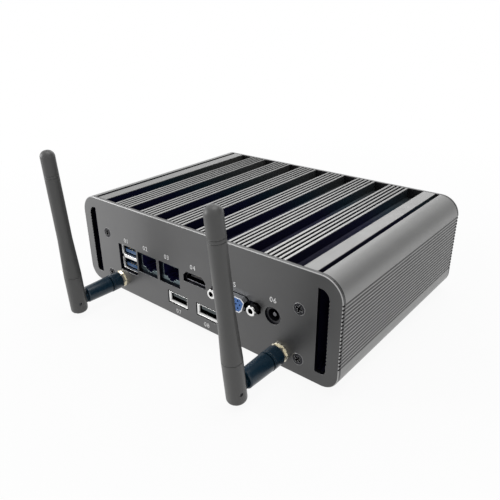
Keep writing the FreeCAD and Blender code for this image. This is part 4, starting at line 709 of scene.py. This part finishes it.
insulator = grainy("black insulator", (0.010, 0.010, 0.014), (0.05, 0.05, 0.06), roughness=0.4, metallic=0.0,
                   edge=0.0001, dust=0.02)
dress(insulator, "video_port_insert", "dc_jack_body", "memory_socket", "wireless_socket", "cell_holder")
tongue_grey = grainy("tongue insulator", (0.030, 0.045, 0.048), (0.12, 0.16, 0.17), roughness=0.35,
                     metallic=0.0, edge=0.0001, dust=0.0)
dress(tongue_grey, "usb_2_left_insert", "usb_2_right_insert")
network_insulator = grainy("network insulator", (0.010, 0.010, 0.060), (0.05, 0.07, 0.12), roughness=0.36,
                           metallic=0.0, edge=0.0001, dust=0.0)
dress(network_insulator, "lan_jack_1_insert", "lan_jack_2_insert")
stack_blue = grainy("stack blue", (0.030, 0.100, 0.24), (0.35, 0.52, 0.70), roughness=0.32, metallic=0.0,
                    edge=0.00012, dust=0.0)
dress(stack_blue, "usb_stack_tongues")
display_blue = grainy("display blue", (0.040, 0.145, 0.42), (0.30, 0.45, 0.75), roughness=0.34, metallic=0.0,
                      edge=0.0001, dust=0.0)
dress(display_blue, "vga_insert")


# ---- Contacts ---------------------------------------------------------------------------
# Gilt spring wires and pads, stamped in rows and pressed into the mouldings: eight
# slanting wires under the roof of a network socket, flat pads on the other tongues.

def contact_row():
    """A geometry tree for a row of bent strips: one swept path, repeated along X."""
    tree = bpy.data.node_groups.new("contact row", "GeometryNodeTree")
    for label, kind in (("Count", "NodeSocketInt"), ("Pitch", "NodeSocketFloat"),
                        ("Start", "NodeSocketVector"), ("Bend", "NodeSocketVector"),
                        ("End", "NodeSocketVector"), ("Width", "NodeSocketFloat"),
                        ("Thickness", "NodeSocketFloat"), ("Finish", "NodeSocketMaterial")):
        tree.interface.new_socket(label, in_out="INPUT", socket_type=kind)
    tree.interface.new_socket("Geometry", in_out="OUTPUT", socket_type="NodeSocketGeometry")
    given = tree.nodes.new("NodeGroupInput").outputs
    out = tree.nodes.new("NodeGroupOutput")
    path = make_node(tree, "GeometryNodeCurveQuadraticBezier",
                     {"Resolution": 8, "Start": given["Start"], "Middle": given["Bend"],
                      "End": given["End"]})
    level = make_node(tree, "GeometryNodeSetCurveNormal", {"Curve": path.outputs[0]}, mode="Z_UP")
    section = make_node(tree, "GeometryNodeCurvePrimitiveQuadrilateral",
                        {"Width": given["Width"], "Height": given["Thickness"]})
    rounded = make_node(tree, "GeometryNodeFilletCurve",
                        {"Curve": section.outputs[0], "Count": 2,
                         "Radius": calculate(tree, "MULTIPLY", given["Thickness"], 0.3)}, mode="POLY")
    strip = make_node(tree, "GeometryNodeCurveToMesh",
                      {"Curve": level.outputs[0], "Profile Curve": rounded.outputs[0], "Fill Caps": True})
    step = make_node(tree, "ShaderNodeCombineXYZ", {"X": given["Pitch"]})
    line = make_node(tree, "GeometryNodeMeshLine", {"Count": given["Count"], "Offset": step.outputs[0]},
                     mode="OFFSET")
    row = make_node(tree, "GeometryNodeInstanceOnPoints",
                    {"Points": line.outputs[0], "Instance": strip.outputs[0]})
    plain = make_node(tree, "GeometryNodeRealizeInstances", {"Geometry": row.outputs[0]})
    finish = make_node(tree, "GeometryNodeSetMaterial",
                       {"Geometry": plain.outputs[0], "Material": given["Finish"]})
    tree.links.new(finish.outputs[0], out.inputs[0])
    return tree


CONTACT_ROW = contact_row()


def grown_mesh(name, tree, values):
    """Runs a geometry tree with its own sizes, and gives the result as a plain mesh."""
    maker = bpy.data.objects.new(name + "_maker", bpy.data.meshes.new(name + "_maker"))
    bpy.context.scene.collection.objects.link(maker)
    modifier = maker.modifiers.new("grow", "NODES")
    modifier.node_group = tree
    for item in tree.interface.items_tree:
        if item.in_out == "INPUT":
            modifier[item.identifier] = values[item.name]
    graph = bpy.context.evaluated_depsgraph_get()
    mesh = bpy.data.meshes.new_from_object(maker.evaluated_get(graph))
    mesh.name = name
    maker.modifiers.remove(modifier)
    bpy.data.objects.remove(maker)
    for face in mesh.polygons:
        face.material_index = 0
    return mesh


gold = grainy("gilt contact", (0.75, 0.52, 0.22), (0.95, 0.78, 0.45), roughness=0.24, metallic=1.0,
              grain=0.0001, bump=0.04, edge=0.00005, dust=0.0)


def contact_strips(name, count, pitch, middle_x, path, width, thickness):
    """A row of contacts. The path's three points are (Y, Z) pairs."""
    first_x = middle_x - pitch * (count - 1) / 2
    start, bend, end = (Vector((first_x, y, z)) for y, z in path)
    mesh = grown_mesh(name, CONTACT_ROW, {
        "Count": count, "Pitch": pitch, "Start": start, "Bend": bend, "End": end,
        "Width": width, "Thickness": thickness, "Finish": gold})
    link_piece(name, mesh, gold, "case")


wire_pitch = 0.00102
wire_width = 0.00046
wire_thickness = 0.00022
wire_bends = [(0.0009, 0.0), (0.0040, 0.0012), (0.0105, 0.0042)]
wire_below_top = 0.0013
for jack in (1, 2):
    low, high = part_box(f"lan_jack_{jack}_insert")
    mouth_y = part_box(f"lan_jack_{jack}_shell")[0].y
    well_top_z = high.z - wire_below_top
    contact_strips(f"lan_jack_{jack}_contacts", 8, wire_pitch, (low.x + high.x) / 2,
                   [(mouth_y + inwards, well_top_z - down) for inwards, down in wire_bends],
                   wire_width, wire_thickness)

pad_thickness = 0.00008


def flat_pads(name, count, pitch, moulding, pad_z, steps, width):
    """A row of flat pads on a moulding's tongue. The steps lead inwards from its front."""
    low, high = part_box(moulding)
    contact_strips(name, count, pitch, (low.x + high.x) / 2, [(low.y + step, pad_z) for step in steps],
                   width, pad_thickness)


usb_pitch = 0.0023
usb_pad_width = 0.0011
single_steps = (0.0009, 0.0040, 0.0080)
for side in ("left", "right"):
    low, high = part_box(f"usb_2_{side}_insert")
    tongue_z = (low.z + high.z) / 2 - pad_thickness / 2
    flat_pads(f"usb_2_{side}_contacts", 4, usb_pitch, f"usb_2_{side}_insert", tongue_z, single_steps,
              usb_pad_width)

shell_low, shell_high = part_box("usb_stack_shell")
stack_middle_z = (shell_low.z + shell_high.z) / 2
divider_half = 0.0014
stack_wall = 0.00045
room_outer = (shell_high.z - shell_low.z) / 2 - stack_wall
tongue_below_middle = 0.0003
stack_steps = (0.0012, 0.0040, 0.0085)
tip_steps = (0.0003, 0.0006, 0.0009)
tip_pitch = 0.0020
tip_width = 0.0008
for level, way in (("lower", -1), ("upper", 1)):
    room_middle_z = stack_middle_z + way * (divider_half + room_outer) / 2
    pad_z = room_middle_z - tongue_below_middle + pad_thickness / 2
    flat_pads(f"usb_stack_{level}_pads", 4, usb_pitch, "usb_stack_tongues", pad_z, stack_steps,
              usb_pad_width)
    flat_pads(f"usb_stack_{level}_tips", 5, tip_pitch, "usb_stack_tongues", pad_z, tip_steps, tip_width)

video_mouth_height = 0.0049
video_middle_z = video_front.z + video_mouth_height / 2
video_tongue_half = 0.00045
video_pitch = 0.0009
video_pad_width = 0.00045
video_steps = (0.0005, 0.0025, 0.0045)
for level, way, count in (("lower", -1, 9), ("upper", 1, 10)):
    pad_z = video_middle_z + way * (video_tongue_half + pad_thickness / 2)
    flat_pads(f"video_{level}_pads", count, video_pitch, "video_port_insert", pad_z, video_steps,
              video_pad_width)


# ---- Printed numbers ------------------------------------------------------------------------
# White ink, screen-printed on the front plate: one plain number above or below each
# socket, counted from the left, the upper row first.

ink = grainy("white ink", (0.88, 0.88, 0.88), (0.70, 0.70, 0.70), roughness=0.55, metallic=0.0, grain=0.0001,
             bump=0.1, clouds=0.2, dust=0.0)
ink_height = 0.0036
ink_thickness = 0.00002
ink_spread = 0.00004
letter_spacing = 1.15
upper_row_z = 0.0330
lower_row_z = 0.0021
number_places = [
    ("01", -0.0508, upper_row_z), ("02", -0.0342, upper_row_z), ("03", -0.0168, upper_row_z),
    ("04", 0.0028, upper_row_z), ("05", 0.0300, upper_row_z), ("06", 0.0539, upper_row_z),
    ("07", -0.0101, lower_row_z), ("08", 0.0110, lower_row_z)]
stand_up = Matrix.Rotation(math.radians(90), 4, "X")
for figures, x, z in number_places:
    text = bpy.data.curves.new("number_" + figures, "FONT")
    text.body = figures
    text.size = ink_height
    text.align_x = "CENTER"
    text.space_character = letter_spacing
    text.extrude = ink_thickness
    text.offset = ink_spread
    text.resolution_u = 4
    writer = bpy.data.objects.new("writer", text)
    bpy.context.scene.collection.objects.link(writer)
    mesh = bpy.data.meshes.new_from_object(writer)
    bpy.data.objects.remove(writer)
    mesh.transform(Matrix.Translation((x, plate_low.y, z)) @ stand_up)
    link_piece("printed_number_" + figures, mesh, ink, "case")


# ---- Power button ---------------------------------------------------------------------
# A plated bush through the rear plate with a nut behind it, and a smooth dark cap
# that slides in it.

button_low, button_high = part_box("power_button")
button_axis = (button_low + button_high) / 2
RING_TONE = (0.35, 0.35, 0.36)
ring_scale = 900.0
ring_strength = 0.35


def turned_rings(tree, colour):
    """Fine rings about the button's axis, left by the lathe."""
    centred = make_node(tree, "ShaderNodeMapping",
                        {"Vector": object_place(tree), "Location": (-button_axis.x, 0.0, -button_axis.z),
                         "Scale": (1.0, 0.0, 1.0)})
    rings = make_node(tree, "ShaderNodeTexWave",
                      {"Vector": centred.outputs[0], "Scale": ring_scale, "Distortion": 0.3},
                      wave_type="RINGS", rings_direction="SPHERICAL")
    return mix_colours(tree, partly(tree, rings.outputs["Fac"], ring_strength), colour, RING_TONE)


bush_nickel = grainy("bush nickel", (0.66, 0.66, 0.65), (0.9, 0.9, 0.89), roughness=0.24, metallic=1.0,
                     grain=0.00012, bump=0.05, paint=turned_rings)
dress(bush_nickel, "power_button_body", "power_button_nut")
cap_plastic = grainy("button cap", (0.02, 0.022, 0.026), (0.1, 0.1, 0.1), roughness=0.25, metallic=0.0,
                     grain=0.0002, bump=0.05, coat=0.4)
dress(cap_plastic, "power_button")


# ---- Antennas ------------------------------------------------------------------------
# Each is a plated jack, toothed washer and nut on the plate, a screwed coupling, a
# turning arm and a hinged blade. Arm and coupling are glossy, the blade is satin.

blade_plastic = grainy("blade moulding", (0.074, 0.074, 0.073), (0.2, 0.2, 0.2), roughness=0.40,
                       metallic=0.0, grain=0.0004, bump=0.12, edge=0.0003)
arm_plastic = grainy("arm moulding", (0.003, 0.022, 0.042), (0.05, 0.10, 0.14), roughness=0.27, metallic=0.0,
                     grain=0.0004, bump=0.08, edge=0.0003, dust=0.02, coat=0.12, specular=0.35)
gilt = grainy("gilt nickel", (0.74, 0.70, 0.58), (0.97, 0.93, 0.84), roughness=0.2, metallic=1.0,
              grain=0.00012, bump=0.05, dust=0.02)
dark_pin = grainy("hinge pin", (0.05, 0.055, 0.06), (0.3, 0.3, 0.3), roughness=0.3, metallic=0.8,
                  grain=0.00012, bump=0.05)
sheath = grainy("lead sheath", (0.015, 0.015, 0.016), (0.05, 0.05, 0.05), roughness=0.45, metallic=0.0,
                grain=0.0002, bump=0.1)
for side in ("left", "right"):
    dress(blade_plastic, f"antenna_blade_{side}")
    dress(arm_plastic, f"antenna_arm_{side}", f"antenna_coupling_{side}")
    dress(gilt, f"antenna_jack_{side}", f"antenna_nut_{side}", f"antenna_washer_{side}")
    dress(dark_pin, f"antenna_pin_{side}")
    dress(sheath, f"antenna_lead_{side}")


# ---- Floor, light and camera ----------------------------------------------------------
# A plain white floor that keeps the shadow, soft light from behind, above and the
# left, and a camera in front of the right corner.

WHITE = (1.0, 1.0, 1.0, 1.0)
floor_reach = 4.0
floor_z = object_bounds()[0].z
near_white_share = 0.92
shadow_reach = 0.12
all_white_from = 0.4
floor_mesh = bpy.data.meshes.new("floor")
floor_mesh.from_pydata([(-floor_reach, -floor_reach, floor_z), (floor_reach, -floor_reach, floor_z),
                        (floor_reach, floor_reach, floor_z), (-floor_reach, floor_reach, floor_z)],
                       [], [(0, 1, 2, 3)])
floor = bpy.data.objects.new("floor", floor_mesh)
bpy.context.scene.collection.objects.link(floor)
floor_paint, floor_tree, floor_shader = new_material("floor paint")
floor_shader.inputs["Base Color"].default_value = (0.9, 0.9, 0.9, 1.0)
floor_shader.inputs["Roughness"].default_value = 0.9
floor_shader.inputs["Specular IOR Level"].default_value = 0.0
floor_mesh.materials.append(floor_paint)

# What the camera sees, itself or through gloss and glass, is nearly all white. The
# rest is lit paint, which is where the shadow shows.
rays = floor_tree.nodes.new("ShaderNodeLightPath").outputs
seen = calculate(floor_tree, "MAXIMUM", rays["Is Camera Ray"], rays["Is Glossy Ray"])
seen = calculate(floor_tree, "MAXIMUM", seen, rays["Is Transmission Ray"])
distance = make_node(floor_tree, "ShaderNodeVectorMath", {0: object_place(floor_tree)}, operation="LENGTH")
far_share = spread(floor_tree, distance.outputs["Value"], shadow_reach, all_white_from)
white_share = calculate(floor_tree, "MULTIPLY_ADD", far_share, 1.0 - near_white_share, near_white_share)
glow = make_node(floor_tree, "ShaderNodeEmission", {"Color": WHITE, "Strength": 1.0})
blend = make_node(floor_tree, "ShaderNodeMixShader",
                  {0: calculate(floor_tree, "MULTIPLY", seen, white_share),
                   1: floor_shader.outputs[0], 2: glow.outputs[0]})
floor_out = next(node for node in floor_tree.nodes if node.type == "OUTPUT_MATERIAL")
floor_tree.links.new(blend.outputs[0], floor_out.inputs["Surface"])

# The surroundings are white too, but for a dark card at the right rear that gloss
# reflects, and they give only a part of their light to matt faces.
card_direction = Vector((0.62, 0.66, 0.42)).normalized()
card_edge = 0.84
card_core = 0.95
card_darkness = 0.7
diffuse_level = 0.4
world = bpy.data.worlds.new("daylight")
bpy.context.scene.world = world
world.use_nodes = True
sky = world.node_tree
sky.nodes.clear()
sky_rays = sky.nodes.new("ShaderNodeLightPath").outputs
sky_way = make_node(sky, "ShaderNodeTexCoord", {}).outputs["Generated"]
towards_card = calculate_vector(sky, "DOT_PRODUCT", sky_way, card_direction).outputs["Value"]
on_card = spread(sky, towards_card, card_edge, card_core)
card_shade = calculate(sky, "MULTIPLY_ADD", on_card, -card_darkness, 1.0)
strength = calculate(sky, "MULTIPLY", sky_rays["Is Glossy Ray"], card_shade)
strength = calculate(sky, "MAXIMUM", strength, sky_rays["Is Camera Ray"])
strength = calculate(sky, "MAXIMUM", strength, sky_rays["Is Transmission Ray"])
strength = calculate(sky, "MAXIMUM", strength,
                     calculate(sky, "MULTIPLY", sky_rays["Is Diffuse Ray"], diffuse_level))
background = make_node(sky, "ShaderNodeBackground", {"Color": WHITE, "Strength": strength})
sky_out = sky.nodes.new("ShaderNodeOutputWorld")
sky.links.new(background.outputs[0], sky_out.inputs["Surface"])

for name, place, aim, width, power in (
        ("back light", (-0.55, 1.10, 0.75), (0.03, 0, 0.05), 0.6, 1.7),
        ("top light", (0.1, 0.1, 1.3), (0, 0, 0), 0.8, 6.0),
        ("left light", (-0.95, -0.75, 0.35), (-0.05, 0, 0.02), 0.6, 7.0)):
    lamp = bpy.data.lights.new(name, "AREA")
    lamp.energy = power
    lamp.size = width
    soft_box = bpy.data.objects.new(name, lamp)
    bpy.context.scene.collection.objects.link(soft_box)
    soft_box.location = place
    soft_box.rotation_mode = "QUATERNION"
    soft_box.rotation_quaternion = (Vector(aim) - Vector(place)).to_track_quat("-Z", "Y")

camera_place = (0.17733, -0.22802, 0.15541)
azimuth, elevation, roll = (math.radians(angle) for angle in (41.78, 24.35, -1.42))
back = Vector((math.sin(azimuth) * math.cos(elevation), -math.cos(azimuth) * math.cos(elevation),
               math.sin(elevation)))
level_right = (-back).cross(Vector((0, 0, 1))).normalized()
upright = level_right.cross(-back)
right = math.cos(roll) * level_right + math.sin(roll) * upright
up = math.cos(roll) * upright - math.sin(roll) * level_right
lens = bpy.data.cameras.new("camera")
lens.sensor_width = 36.0
lens.lens = 38.0
lens.shift_x = 0.0365
lens.shift_y = -0.0127
lens.clip_start = 0.01
lens.clip_end = 20.0
camera = bpy.data.objects.new("camera", lens)
bpy.context.scene.collection.objects.link(camera)
camera.matrix_world = Matrix.Translation(camera_place) @ Matrix((
    (right.x, up.x, back.x), (right.y, up.y, back.y), (right.z, up.z, back.z))).to_4x4()
bpy.context.scene.camera = camera
bpy.context.scene.view_settings.view_transform = "Standard"
